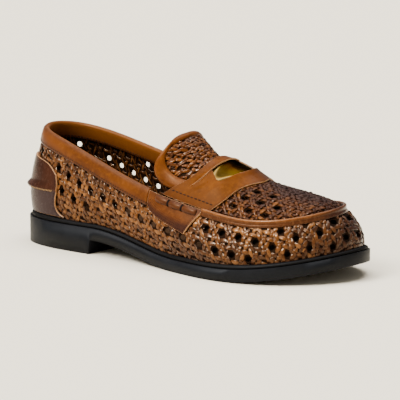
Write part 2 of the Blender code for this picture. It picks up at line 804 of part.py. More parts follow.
def upper_wall(seam):
    """Wall of the upper, holed by its weave, with its seam edge left to join the apron."""
    foot = np.append(ROUND, 1.0)
    rise = np.linspace(0.0, 1.0, 8)[1:-1]
    back = np.concatenate([ROUND[ROUND < seam[0] - 0.004], seam, ROUND[ROUND > seam[-1] + 0.004], [1.0]])
    top = back[::-1]
    s = np.concatenate([foot, np.ones(len(rise)), top, np.zeros(len(rise))])
    t = np.concatenate([np.zeros(len(foot)), rise, np.ones(len(top)), rise[::-1]])
    up = np.concatenate([np.zeros(len(foot)), rise * UP[-1, -1], wall_height(top), rise[::-1] * UP[0, -1]])
    outline = np.column_stack([np.interp(s, GRID_S, ALONG), up])
    joined = (t == 1.0) & (s > seam[0] - 1e-9) & (s < seam[-1] + 1e-9)
    side = np.isclose(s, 0.0) | np.isclose(s, 1.0)
    bare = [k for k in range(len(s)) if joined[k] and joined[(k + 1) % len(s)]]
    bare += [k for k in range(len(s)) if side[k] and side[(k + 1) % len(s)]]
    counts = lattice((-4, 20), (-14, 6))
    centers = unweave(counts)
    keep = wall_clear(centers) > 3.9
    holes = [unweave(octagon(center, HOLE_RADIUS)) for center in counts[keep]]
    free = loops_clear(outline, holes)

    def bare_wall(flat):
        """Distance of strip points from holes, from covered parts and from the welt."""
        away = np.minimum(wall_clear(flat) - 1.4, free(flat) - 1.0)
        return np.minimum(away, flat[:, 1] - 2.6 * WELT_HEIGHT)

    spots, rises = strips(counts, unweave, bare_wall, 0.0)
    guards = wall_guards()
    fill, lift = blend_fill(spots, rises, guards[free(guards) > 0.7], 1.2)
    grid = mesh_fill((4.0, 4.0), (AROUND - 2.0, 62.0), (7.0, 7.5), free, 2.2)
    fill, lift = blend_fill(fill, lift, grid, 4.2)
    coarse = mesh_fill((5.0, 5.0), (AROUND - 2.0, 62.0), (11.0, 9.0), free, 2.6)
    bound = ROUND[section(ROUND)[:, 4] < COLLAR_END + 4.0]
    turned = np.column_stack([np.interp(bound, GRID_S, ALONG), wall_height(bound) - COLLAR_INNER - 0.4])
    turned = turned[free(turned) > 0.7]
    coarse = blend_fill(turned, np.zeros(len(turned)), coarse, 5.0)[0]
    loops = len(outline) + sum(len(hole) for hole in holes)

    def place(flat, outer):
        """Faces of the wall."""
        at_s, at_t = wall_at(flat)
        at_s[:len(s)] = s
        at_t[:len(s)] = t
        at_s = np.mod(at_s, 1.0)
        normal = wall_normal(at_s, at_t)
        normal[:len(s)][joined] = seam_normal(s[joined])
        offset = np.full(len(flat), -LEATHER)
        if outer:
            offset = np.concatenate([np.zeros(loops), lift])
        return wall(at_s, at_t) + normal * offset[:, None]

    return sheet(outline, holes, fill, coarse, place, bare)


PLUG_PITCH_X = 12.2
PLUG_PITCH_Y = 8.6
PLUG_FIRST_X = 195.2
PLUG_SKEW = 0.34


def plug_place(counts):
    """Plan places on the apron for weave counts."""
    y = PLUG_PITCH_Y * (counts[:, 1] + 0.5)
    x = PLUG_FIRST_X + PLUG_PITCH_X * (counts[:, 0] + PLUG_SKEW * (counts[:, 1] + 3.0))
    y0, _, y1, _ = apron_frame(np.clip(x, PLUG_BACK, SEAM_OUTER[-1, 0]))
    middle = 0.5 * (y0 + y1)
    return np.column_stack([x, middle + y * (1.0 - 0.0035 * np.abs(y))])


def saddle_edges(across):
    """Back and front edge of the saddle across the instep."""
    rows = np.array(SADDLE)
    return spline(rows[:, 0], rows[:, 1:], across, False)


def upper_apron(seam):
    """Apron of the upper, holed by its weave in front of the saddle."""
    rim = section(seam)[:, 4:7]
    across = np.linspace(1.0, -1.0, 13)[1:-1]
    y0, _, y1, _ = apron_frame(np.full(len(across), PLUG_BACK))
    back = np.column_stack([np.full(len(across), PLUG_BACK), 0.5 * (y0 + y1) + 0.5 * (y1 - y0) * across])
    outline = np.vstack([rim[:, :2], back])
    bare = list(range(len(seam) - 1))
    counts = lattice((-3, 8), (-5, 5))
    plain = loops_clear(outline, [])

    def exposed(flat):
        """Distance from the seam cord and from the saddle's front edge."""
        front = saddle_edges(apron_across(flat[:, 0], flat[:, 1]))[:, 1]
        return np.minimum(plain(flat) - 2.0, flat[:, 0] - front)

    centers = plug_place(counts)
    keep = exposed(centers) > 3.4
    holes = [plug_place(octagon(center, HOLE_RADIUS)) for center in counts[keep]]
    free = loops_clear(outline, holes)
    spots, rises = strips(counts, plug_place, lambda p: np.minimum(exposed(p) - 1.6, free(p) - 1.0), 0.0)
    middle = np.mean(outline, axis=0)
    inward = middle - rim[:, :2]
    inward = inward / np.linalg.norm(inward, axis=1)[:, None]
    cross = np.linspace(-0.94, 0.94, 17)
    edge = saddle_point(cross, np.ones(len(cross))) + [0.3, 0.0]
    guards = thin_points(np.vstack([rim[:, :2] + inward * 2.4, edge]), 3.0)
    fill, lift = blend_fill(spots, rises, guards[free(guards) > 0.7], 1.2)
    grid = mesh_fill((PLUG_BACK + 4.0, -36.0), (250.0, 40.0), (6.5, 6.5), free, 2.2)
    fill, lift = blend_fill(fill, lift, grid, 3.6)
    coarse = mesh_fill((PLUG_BACK + 5.0, -36.0), (250.0, 40.0), (9.0, 9.0), free, 2.6)
    loops = len(outline) + sum(len(hole) for hole in holes)

    def place(flat, outer):
        """Faces of the apron."""
        base = apron_plan(flat)
        normal = apron_normal(flat)
        base[:len(seam)] = wall(seam, 1.0)
        normal[:len(seam)] = seam_normal(seam)
        offset = np.full(len(flat), -LEATHER)
        if outer:
            offset = np.concatenate([np.zeros(loops), lift])
        return base + normal * offset[:, None]

    return sheet(outline, holes, fill, coarse, place, bare)


def upper():
    """Upper as one hollow wall: the woven wall and the woven apron joined at their seam."""
    ends = (seam_place(PLUG_BACK, True), seam_place(PLUG_BACK, False))
    within = ROUND[(ROUND > ends[0] + 0.004) & (ROUND < ends[1] - 0.004)]
    seam = np.concatenate([[ends[0]], within, [ends[1]]])
    return merge(upper_wall(seam), upper_apron(seam))


def on_wall(outline, low, thick, fill):
    """Piece lying on the wall over a flat outline, thick(flat) mm thick and low mm off it."""

    def place(flat, outer):
        """Faces of the piece."""
        at_s, at_t = wall_at(flat)
        offset = low + (thick(flat) if outer else np.zeros(len(flat)))
        return wall(at_s, at_t) + wall_normal(at_s, at_t) * offset[:, None]

    return sheet(outline, [], fill, fill, place)


def even_loop(points, step):
    """Closed outline with points added so that no edge is longer than step."""
    out = []
    for a, b in zip(points, np.roll(points, -1, axis=0)):
        count = max(1, math.ceil(np.hypot(*(b - a)) / step))
        out += [a + (b - a) * k / count for k in range(count)]
    return np.array(out)


def inner_fill(outline, step, margin):
    """Even points inside a flat outline."""
    return mesh_fill(outline.min(axis=0), outline.max(axis=0), step, loops_clear(outline, []), margin)


def counter():
    """Heel counter with its spur, a step out of the counter's own wall."""
    outer = np.array([(foot_place(row.x, True), row.up) for row in COUNTER])
    inner = np.array([(foot_place(row.x, False) - AROUND, row.up) for row in COUNTER])
    low = WELT_HEIGHT + WELT_HEEL_EXTRA + 0.6
    bottom = np.array([(inner[0, 0] * 0.6, low), (0.0, low), (outer[0, 0] * 0.6, low)])
    loop = np.vstack([bottom, outer, [[0.0, COUNTER_TOP]], inner[::-1]])
    outline = even_loop(loop, 6.5)

    def thick(flat):
        """Counter thickness with the spur's flare."""
        reach = np.clip(1.0 - (flat[:, 0] / SPUR_HALF_LENGTH) ** 2, 0.0, 1.0)
        above = flat[:, 1] - SPUR_HEIGHT
        shape = np.where(above < 0.0, np.exp(-(above / 0.8) ** 2), np.exp(-(above / 4.5) ** 2))
        return TRIM + SPUR_REACH * reach * shape

    columns = np.arange(-49.0, 50.0, 7.0)
    lines = [12.0, 19.6, 21.5, 23.4, 26.5, 33.0]
    fill = np.array([(column, line) for line in lines for column in columns])
    fill = fill[loops_clear(outline, [])(fill) > 1.4]
    return on_wall(outline, GAP + 0.2, thick, fill)


def wing(outer):
    """Side wing under the end of the saddle."""
    outline = even_loop(wing_polygon(outer), 6.5)
    return on_wall(outline, GAP, lambda flat: np.full(len(flat), TRIM), inner_fill(outline, (6.5, 6.5), 1.8))


def beef_roll(outer):
    """Rolled end of the saddle: a bead in equal swells lying on the wing along its top edge."""
    start = foot_place(ROLL_START, outer)
    end = foot_place(ROLL_END, outer)
    run = np.linspace(min(start, end), max(start, end), 6 * ROLL_WAVES + 1)
    swell = np.abs(np.sin(np.linspace(0.0, math.pi * ROLL_WAVES, len(run))))
    width = ROLL_HALF_WIDTH * (0.72 + 0.28 * swell)
    tall = ROLL_HEIGHT * (0.42 + 0.58 * swell)
    s = np.interp(run, ALONG, GRID_S)
    middle = wall_height(s) - ROLL_HALF_WIDTH - 0.5
    floor = 2.0 * GAP + TRIM
    rows = []
    for side, lift in ((-0.9, 0.0), (-1.0, 0.35), (-0.6, 0.85), (0.0, 1.0), (0.6, 0.85), (1.0, 0.35), (0.9, 0.0)):
        t = up_to_t(s, middle + side * width)
        rows.append(wall(s, t) + wall_normal(s, t) * (floor + lift * tall)[:, None])
    return tube(np.stack(rows, axis=1), True)


def collar():
    """Collar binding folded over the top edge of the upper, from wing to wing round the heel."""
    start = float(np.interp(foot_place(COLLAR_END, False), ALONG, GRID_S)) - 1.0
    end = float(np.interp(foot_place(COLLAR_END, True), ALONG, GRID_S))
    around = np.concatenate([ROUND - 1.0, ROUND])
    around = around[(around > start + 0.003) & (around < end - 0.003)]
    s = np.mod(np.concatenate([[start], around, [end]]), 1.0)
    tall = wall_height(s)
    top = wall(s, 1.0)
    out = wall_normal(s, 1.0)
    rise = top - wall(s, 0.98)
    rise = rise / np.linalg.norm(rise, axis=1)[:, None]

    def leg(drop, offset):
        """Points of a leg of the binding below the edge."""
        t = up_to_t(s, tall - drop)
        return wall(s, t) + wall_normal(s, t) * offset

    inner = -LEATHER - GAP
    rows = [
        leg(COLLAR_WIDTH, GAP),
        leg(COLLAR_WIDTH, GAP + TRIM),
        top + out * (GAP + TRIM) + rise * 0.3,
        top - out * 0.5 * LEATHER + rise * (GAP + TRIM + 0.6),
        top + out * (inner - 1.0) + rise * 0.3,
        leg(COLLAR_INNER, inner - 1.0),
        leg(COLLAR_INNER, inner),
        top + out * inner + rise * GAP,
        top + out * GAP + rise * GAP,
    ]
    return tube(np.stack(rows, axis=1), True)


def apron_seam():
    """Raised seam round the apron: a flat band on the wall with a cord along its edge."""
    start = seam_place(APRON_START, True)
    end = seam_place(APRON_START + 2.0, False)
    within = ROUND[(ROUND > start + 0.003) & (ROUND < end - 0.003)]
    s = np.concatenate([[start], within, [end]])
    edge = wall(s, 1.0)
    out = seam_normal(s)
    rise = edge - wall(s, 0.98)
    rise = rise - out * np.sum(rise * out, axis=1)[:, None]
    rise = rise / np.linalg.norm(rise, axis=1)[:, None]
    low = up_to_t(s, wall_height(s) - APRON_BAND)
    foot = wall(s, low)
    foot_out = wall_normal(s, low)
    rows = [
        foot + foot_out * GAP,
        foot + foot_out * (GAP + 0.8),
        edge - rise * 1.5 + out * (GAP + 1.0),
        edge - rise * 0.9 + out * (GAP + 1.5 * APRON_CORD),
        edge + rise * 0.5 + out * (GAP + 1.6 * APRON_CORD),
        edge + rise * APRON_CORD + out * (GAP + 0.8 * APRON_CORD),
        edge + rise * 1.3 + out * (GAP + 0.35),
        edge + out * (GAP + 0.15),
    ]
    return tube(np.stack(rows, axis=1), True)


def saddle_point(across, share):
    """Plan place on the saddle from shares across and along it."""
    edges = saddle_edges(across)
    x = edges[:, 0] + share * (edges[:, 1] - edges[:, 0])
    y0, _, y1, _ = apron_frame(x)
    return np.column_stack([x, 0.5 * (y0 + y1) + 0.5 * (y1 - y0) * across])


def eye(half_across, half_share, count):
    """Blunt eye shape as (across, share) pairs, anticlockwise in plan."""
    angle = np.linspace(0.0, 2.0 * math.pi, count, endpoint=False)
    across = np.sign(np.sin(angle)) * np.abs(np.sin(angle)) ** 0.75 * half_across
    share = np.sign(np.cos(angle)) * np.abs(np.cos(angle)) ** 0.75 * half_share
    return across, SLOT_SHARE + share


def slot():
    """Slot of the saddle: an eye in the middle that runs out into a slit on each side."""
    turn = np.linspace(-0.5 * math.pi, 0.5 * math.pi, 15)
    across = np.concatenate([
        np.linspace(-SLIT_HALF_ACROSS, -SLOT_HALF_ACROSS, 4),
        SLOT_HALF_ACROSS * np.sin(turn)[1:-1],
        np.linspace(SLOT_HALF_ACROSS, SLIT_HALF_ACROSS, 4),
    ])
    part = np.clip(np.abs(across) / SLOT_HALF_ACROSS, 0.0, 1.0)
    half = np.maximum(SLOT_HALF_SHARE * (1.0 - part ** 6.0) ** 0.5, SLIT_HALF_SHARE)
    far = np.clip((part - 0.82) / 0.18, 0.0, 1.0)
    middle = SLOT_SHARE - SLIT_BACKSET * far
    front = saddle_point(across, middle + half)
    back = saddle_point(across, middle - half)
    return np.vstack([front, back[::-1]])


def on_apron(outline, holes, fill, low, thick):
    """Piece lying on the apron over a plan outline; low and thick are functions of the plan."""

    def place(flat, outer):
        """Faces of the piece."""
        offset = low(flat) + (thick if outer else 0.0)
        return apron_plan(flat) + apron_normal(flat) * offset[:, None]

    return sheet(outline, holes, fill, fill, place)


def saddle():
    """Saddle strap over the instep with its slot."""
    across = np.linspace(-0.985, 0.985, 23)
    front = saddle_point(across, np.ones(len(across)))
    back = saddle_point(across, np.zeros(len(across)))
    outline = even_loop(np.vstack([front, back[::-1]]), 7.0)
    holes = [slot()]
    free = loops_clear(outline, holes)
    fill = mesh_fill(outline.min(axis=0), outline.max(axis=0), (6.0, 5.0), free, 1.8)

    def low(flat):
        """Height off the apron: over the plate in the middle, down to the apron at the front edge."""
        cross = apron_across(flat[:, 0], flat[:, 1])
        edges = saddle_edges(cross)
        left = (edges[:, 1] - flat[:, 0]) / (edges[:, 1] - edges[:, 0])
        ease = np.clip(left / SADDLE_FRONT_SHARE, 0.0, 1.0)
        return GAP + SADDLE_LIFT * (1.0 - cross ** 4) * ease

    return on_apron(outline, holes, fill, low, SADDLE_THICKNESS)


def plate():
    """Plain metal plate seen through the saddle's slot."""
    across, share = eye(PLATE_HALF_ACROSS, PLATE_HALF_SHARE, 28)
    outline = saddle_point(across, share)
    fill = inner_fill(outline, (5.0, 5.0), 1.6)
    return on_apron(outline, [], fill, lambda flat: np.full(len(flat), GAP), PLATE_THICKNESS)


def tongue_piece(outline, holes, fill, low, high):
    """Sheet on the tongue's face between two offsets."""

    def place(flat, outer):
        """Faces of the sheet."""
        return tongue(flat) + tongue_normal(flat) * (high if outer else low)

    return sheet(outline, holes, fill, fill, place)


TONGUE_PITCH = 11.5
BINDING_START = 16.8


def tongue_sheet():
    """Woven tongue rising from under the saddle."""
    outline = even_loop(tongue_outline(0.0, 0.0), 4.0)
    bound = tongue_outline(TONGUE_BINDING, 0.0)
    counts = lattice((-2, 3), (0, 2))
    shown = counts * TONGUE_PITCH * [0.92, 1.0] + [0.0, 21.0]
    keep = -clearance(shown, bound) > 2.6
    holes = [octagon(center, 2.2) for center in shown[keep]]
    free = loops_clear(outline, holes)
    fill = mesh_fill(outline.min(axis=0), outline.max(axis=0), (4.0, 4.6), free, 1.6)
    edge = even_loop(bound, 4.0)
    edge = edge[free(edge) > 1.0]
    fill = blend_fill(edge, np.zeros(len(edge)), fill, 2.4)[0]
    return tongue_piece(outline, holes, fill, -LEATHER, 0.0)


def tongue_binding():
    """Leather binding round the free edge of the tongue."""
    outer = tongue_outline(0.0, BINDING_START)
    inner = tongue_outline(TONGUE_BINDING, BINDING_START)
    loop = even_loop(np.vstack([outer, inner[::-1]]), 3.4)
    return tongue_piece(loop, [], inner_fill(loop, (2.2, 3.0), 1.2), GAP + 0.2, GAP + 1.2)


def add_piece(collection, name, piece, color, roughness, metallic):
    """Mesh object with its own material from points in millimetres and faces."""
    points, faces = piece
    placed = (np.asarray(points) - [ORIGIN_X, ORIGIN_Y, 0.0]) * MM
    mesh = bpy.data.meshes.new(name)
    mesh.from_pydata(placed.tolist(), [], faces)
    body = bmesh.new()
    body.from_mesh(mesh)
    bmesh.ops.remove_doubles(body, verts=body.verts, dist=0.00001)
    bmesh.ops.triangulate(body, faces=[face for face in body.faces if len(face.verts) > 3])
    bmesh.ops.recalc_face_normals(body, faces=body.faces)
    body.to_mesh(mesh)
    body.free()
    material = bpy.data.materials.new(name)
    material.use_nodes = True
    shader = material.node_tree.nodes["Principled BSDF"]
    shader.inputs["Base Color"].default_value = (*color, 1.0)
    shader.inputs["Roughness"].default_value = roughness
    shader.inputs["Metallic"].default_value = metallic
    mesh.materials.append(material)
    item = bpy.data.objects.new(name, mesh)
    collection.objects.link(item)
    return item


# Colours
TAN = (0.42, 0.20, 0.07)
COGNAC = (0.34, 0.15, 0.06)
BROWN = (0.20, 0.09, 0.05)
BLACK = (0.025, 0.025, 0.028)
DARK = (0.05, 0.035, 0.03)
GOLD = (0.72, 0.55, 0.25)


def main():
    """Build every piece of the shoe."""
    for item in list(bpy.data.objects):
        bpy.data.objects.remove(item)
    collection = bpy.data.collections.new("woven_loafer")
    bpy.context.scene.collection.children.link(collection)
    add_piece(collection, "outsole", outsole(), BLACK, 0.55, 0.0)
    add_piece(collection, "welt", welt(), DARK, 0.45, 0.0)
    add_piece(collection, "insole", insole(), TAN, 0.50, 0.0)
    add_piece(collection, "upper", upper(), COGNAC, 0.35, 0.0)
    add_piece(collection, "heel_counter", counter(), BROWN, 0.30, 0.0)
    add_piece(collection, "collar_binding", collar(), TAN, 0.32, 0.0)
    add_piece(collection, "apron_seam", apron_seam(), COGNAC, 0.30, 0.0)
    add_piece(collection, "wing_outer", wing(True), TAN, 0.32, 0.0)
    add_piece(collection, "wing_inner", wing(False), TAN, 0.32, 0.0)
    add_piece(collection, "beef_roll_outer", beef_roll(True), BROWN, 0.32, 0.0)
    add_piece(collection, "beef_roll_inner", beef_roll(False), BROWN, 0.32, 0.0)
    add_piece(collection, "saddle", saddle(), TAN, 0.30, 0.0)
    add_piece(collection, "saddle_plate", plate(), GOLD, 0.25, 1.0)
    add_piece(collection, "tongue", tongue_sheet(), COGNAC, 0.35, 0.0)
    add_piece(collection, "tongue_binding", tongue_binding(), TAN, 0.30, 0.0)


main()
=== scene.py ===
"""Looks of the woven leather loafer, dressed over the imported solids.

Sizes are millimetres from the back of the heel unless a name says otherwise. The toe
points to +x, the outer side of the foot lies to -y and the floor is z = 0.
"""

import logging
import math
from dataclasses import dataclass, field
from enum import Enum
from typing import Callable, NamedTuple, Optional, Sequence

import bmesh
import bpy
import numpy as np
from mathutils import Matrix, Vector
from mathutils.kdtree import KDTree


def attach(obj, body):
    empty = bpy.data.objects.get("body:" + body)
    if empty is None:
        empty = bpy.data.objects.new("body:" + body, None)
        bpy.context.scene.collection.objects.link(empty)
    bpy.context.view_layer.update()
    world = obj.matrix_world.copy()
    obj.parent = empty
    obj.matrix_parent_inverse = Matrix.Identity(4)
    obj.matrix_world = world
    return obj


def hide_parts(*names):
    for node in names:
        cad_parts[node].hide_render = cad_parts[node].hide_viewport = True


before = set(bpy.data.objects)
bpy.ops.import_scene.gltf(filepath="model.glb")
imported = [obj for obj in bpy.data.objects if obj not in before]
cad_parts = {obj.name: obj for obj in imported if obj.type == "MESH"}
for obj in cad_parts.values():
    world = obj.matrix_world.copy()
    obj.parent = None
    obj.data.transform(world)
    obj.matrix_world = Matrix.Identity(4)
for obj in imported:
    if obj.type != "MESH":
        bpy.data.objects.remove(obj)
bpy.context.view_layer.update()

LOG = logging.getLogger("woven_loafer")
Array = np.ndarray
Color = tuple[float, float, float]
PlaceFn = Callable[[Array, Array], Array]
StandFn = Callable[[Array, Array], tuple[Array, Array]]
Socket = bpy.types.NodeSocket
Material = bpy.types.Material
Mesh = bpy.types.Mesh
Piece = bpy.types.Object
BMesh = bmesh.types.BMesh

MM = 0.001
ORIGIN = (131.65, 1.1, 0.0)
SEED = 7
PAIR = (-1, 1)
LONGEST_STEP = 6.0
AXIS_TURN = Matrix(((0.0, 0.0, 1.0), (0.0, 1.0, 0.0), (-1.0, 0.0, 0.0)))


class Side(Enum):
    """Side of the foot."""

    OUTER = "outer"
    INNER = "inner"


class Section(NamedTuple):
    """Section of the last at the sole edge, and the collar or seam point above it."""

    name: str
    x: float
    y: float
    swell: float
    lean: float
    edge_x: float
    edge_y: float
    edge_z: float


SECTIONS: tuple[Section, ...] = (
    Section("heel", 0.0, 0.0, 3.6, 16.0, 12.5, 0.0, 80.5),
    Section("heel_corner_outer", 9.5, -21.0, 3.2, 16.0, 20.0, -14.5, 78.8),
    Section("heel_side_outer", 34.0, -32.0, 2.6, 12.0, 40.0, -22.5, 74.5),
    Section("waist_back_outer", 72.0, -34.0, 2.6, 10.0, 73.0, -26.5, 64.8),
    Section("waist_outer", 110.0, -35.5, 2.6, 14.0, 108.0, -29.0, 54.0),
    Section("shank_outer", 145.0, -41.0, 2.6, 26.0, 142.0, -31.0, 46.0),
    Section("ball_outer", 182.0, -47.5, 2.0, 42.0, 178.0, -32.0, 40.0),
    Section("vamp_outer", 212.0, -45.0, 1.5, 50.0, 207.0, -30.5, 37.2),
    Section("toe_corner_outer", 239.0, -31.5, 1.5, 50.0, 230.0, -20.5, 38.8),
    Section("toe_quarter_outer", 258.0, -10.0, 1.5, 50.0, 243.5, -6.0, 41.8),
    Section("toe", 266.0, 13.0, 1.5, 50.0, 248.5, 9.0, 43.8),
    Section("toe_quarter_inner", 259.0, 33.0, 1.5, 50.0, 245.0, 22.5, 44.2),
    Section("toe_corner_inner", 241.0, 45.5, 1.5, 50.0, 232.5, 32.0, 43.2),
    Section("vamp_inner", 214.0, 50.0, 1.5, 50.0, 208.0, 36.0, 42.0),
    Section("ball_inner", 185.0, 47.0, 2.0, 42.0, 180.0, 34.5, 45.0),
    Section("shank_inner", 147.0, 36.0, 2.6, 26.0, 143.0, 29.5, 52.0),
    Section("waist_inner", 111.0, 29.0, 2.6, 14.0, 109.0, 25.5, 60.5),
    Section("waist_back_inner", 73.0, 29.5, 2.6, 10.0, 73.5, 24.0, 69.2),
    Section("heel_side_inner", 34.0, 31.0, 2.6, 12.0, 40.0, 21.5, 76.5),
    Section("heel_corner_inner", 9.5, 21.0, 3.2, 16.0, 20.0, 14.0, 79.8),
)
TOE_SECTION = 10


class WeaveRow(NamedTuple):
    """Weave counts at the foot of an outer section and their change per mm up the wall."""

    name: str
    along: float
    along_rise: float
    row: float
    row_rise: float


WEAVE: tuple[WeaveRow, ...] = (
    WeaveRow("heel", -3.55, -0.019, 4.18, -0.066),
    WeaveRow("heel_corner", -1.37, -0.022, 3.53, -0.072),
    WeaveRow("heel_side", 0.73, -0.028, 3.05, -0.078),
    WeaveRow("waist_back", 3.39, -0.021, 2.13, -0.083),
    WeaveRow("waist", 6.26, -0.014, 1.67, -0.086),
    WeaveRow("shank", 9.10, -0.022, 1.59, -0.087),
    WeaveRow("ball", 11.59, -0.027, 1.01, -0.081),
    WeaveRow("vamp", 13.78, -0.025, 0.57, -0.080),
    WeaveRow("toe_corner", 16.25, -0.045, -0.42, -0.075),
    WeaveRow("toe_quarter", 18.29, -0.070, -2.43, -0.040),
    WeaveRow("toe", 18.97, -0.082, -4.50, 0.000),
)
WEAVE_AXIS_ROW = -4.5


# Distance from the heel back and height of the middle of the apron
RIDGE = (
    (130.0, 75.5), (150.0, 70.6), (156.0, 69.3), (166.0, 67.5), (176.0, 64.5), (188.0, 59.7),
    (200.0, 56.6), (214.0, 54.4), (225.0, 52.4), (236.0, 49.9), (243.0, 47.4), (248.5, 43.8),
)

# Edges of counter and wing: distance from the heel back and height up the wall
COUNTER_FRONT = ((50.0, 4.2), (45.0, 6.8), (42.0, 14.0), (42.5, 22.0), (39.5, 32.0))
COUNTER_TOP = ((39.5, 32.0), (30.0, 38.5), (18.0, 41.5))
COUNTER_CROWN = 43.0
WING_LOW = ((130.6, 30.5), (134.0, 27.4), (143.5, 24.0), (156.0, 20.8), (166.5, 18.0))
WING_FRONT = ((166.5, 18.0), (172.0, 26.0), (176.5, 33.0))

# Share across the instep with the back and the front edge of the saddle there
SADDLE = (
    (-0.985, 138.0, 177.5), (-0.85, 145.0, 182.2), (-0.70, 152.3, 185.4), (-0.40, 158.2, 190.0),
    (0.00, 159.6, 196.0), (0.40, 158.6, 191.0), (0.70, 154.0, 187.0), (0.85, 148.5, 184.5),
    (0.985, 142.0, 181.0),
)

# Middle (x, z) of the tongue, its half width and its edge (x, z), from the base to the tip
TONGUE = (
    (169.4, 66.2, 22.0, 169.4, 51.5), (163.5, 67.6, 23.5, 161.0, 51.3), (158.6, 69.8, 25.0, 150.0, 51.8),
    (154.2, 73.4, 26.0, 138.5, 53.2), (150.2, 76.9, 26.4, 130.8, 58.0), (146.2, 80.0, 26.0, 127.8, 64.2),
    (142.3, 82.4, 24.0, 128.8, 70.5), (139.4, 84.0, 19.0, 131.3, 77.0), (137.6, 84.9, 12.0, 133.8, 82.4),
    (136.6, 85.3, 5.0, 135.8, 85.0),
)
TONGUE_MIDDLE = -0.5


def smooth_step(value: Array) -> Array:
    """Value eased from 0 to 1."""
    t = np.clip(value, 0.0, 1.0)
    return t * t * (3.0 - 2.0 * t)


def unit(vectors: Array) -> Array:
    """Vectors at length one."""
    return vectors / np.maximum(np.linalg.norm(vectors, axis=1), 1e-12)[:, None]


def running(line: Array) -> Array:
    """Running length along a line."""
    return np.concatenate([[0.0], np.cumsum(np.linalg.norm(np.diff(line, axis=0), axis=1))])


def pick(at: Array, length: Array, line: Array) -> Array:
    """Points of a line at places along its running length."""
    return np.column_stack([np.interp(at, length, line[:, k]) for k in range(line.shape[1])])


def stand(points: Array, normals: Array, offset: float | Array) -> Array:
    """Points moved along their normals by an offset."""
    return points + normals * np.broadcast_to(np.asarray(offset, float), len(points))[:, None]


def over(flat: PlaceFn, surface: PlaceFn, height: PlaceFn | float) -> PlaceFn:
    """Face over flat places that stands off a surface by a height."""
    return lambda a, b: surface(flat(a, b), height(a, b) if callable(height) else height)


def spline(knots: Array, table: Array, at: Array, closed: bool = False) -> Array:
    """Cubic spline through table rows.

    Args:
        knots: Place of each row; a closed spline runs round to 1.0.
        table: Rows to pass through.
        at: Places to evaluate.
        closed: Whether the last row joins the first.

    Returns:
        One interpolated row per place.
    """
    rows = np.asarray(table, float)
    count = len(rows)
    ends = np.append(knots, 1.0) if closed else np.asarray(knots, float)
    step = np.diff(ends)
    matrix = np.eye(count)
    right = np.zeros_like(rows)
    for i in range(count):
        if not closed and i in (0, count - 1):
            continue
        before = (i - 1) % count
        after = (i + 1) % count
        matrix[i] = 0.0
        matrix[i, before] += step[before]
        matrix[i, i] += 2.0 * (step[before] + step[i])
        matrix[i, after] += step[i]
        slope_on = (rows[after] - rows[i]) / step[i]
        slope_back = (rows[i] - rows[before]) / step[before]
        right[i] = 6.0 * (slope_on - slope_back)
    bend = np.linalg.solve(matrix, right)
    at = np.mod(at, 1.0) if closed else np.clip(at, ends[0], ends[-1])
    low = np.clip(np.searchsorted(ends, at, side="right") - 1, 0, len(step) - 1)
    high = (low + 1) % count
    width = step[low][:, None]
    a = (ends[low + 1] - at)[:, None] / width
    b = 1.0 - a
    curve = (a ** 3 - a) * bend[low] + (b ** 3 - b) * bend[high]
    return a * rows[low] + b * rows[high] + curve * width ** 2 / 6.0


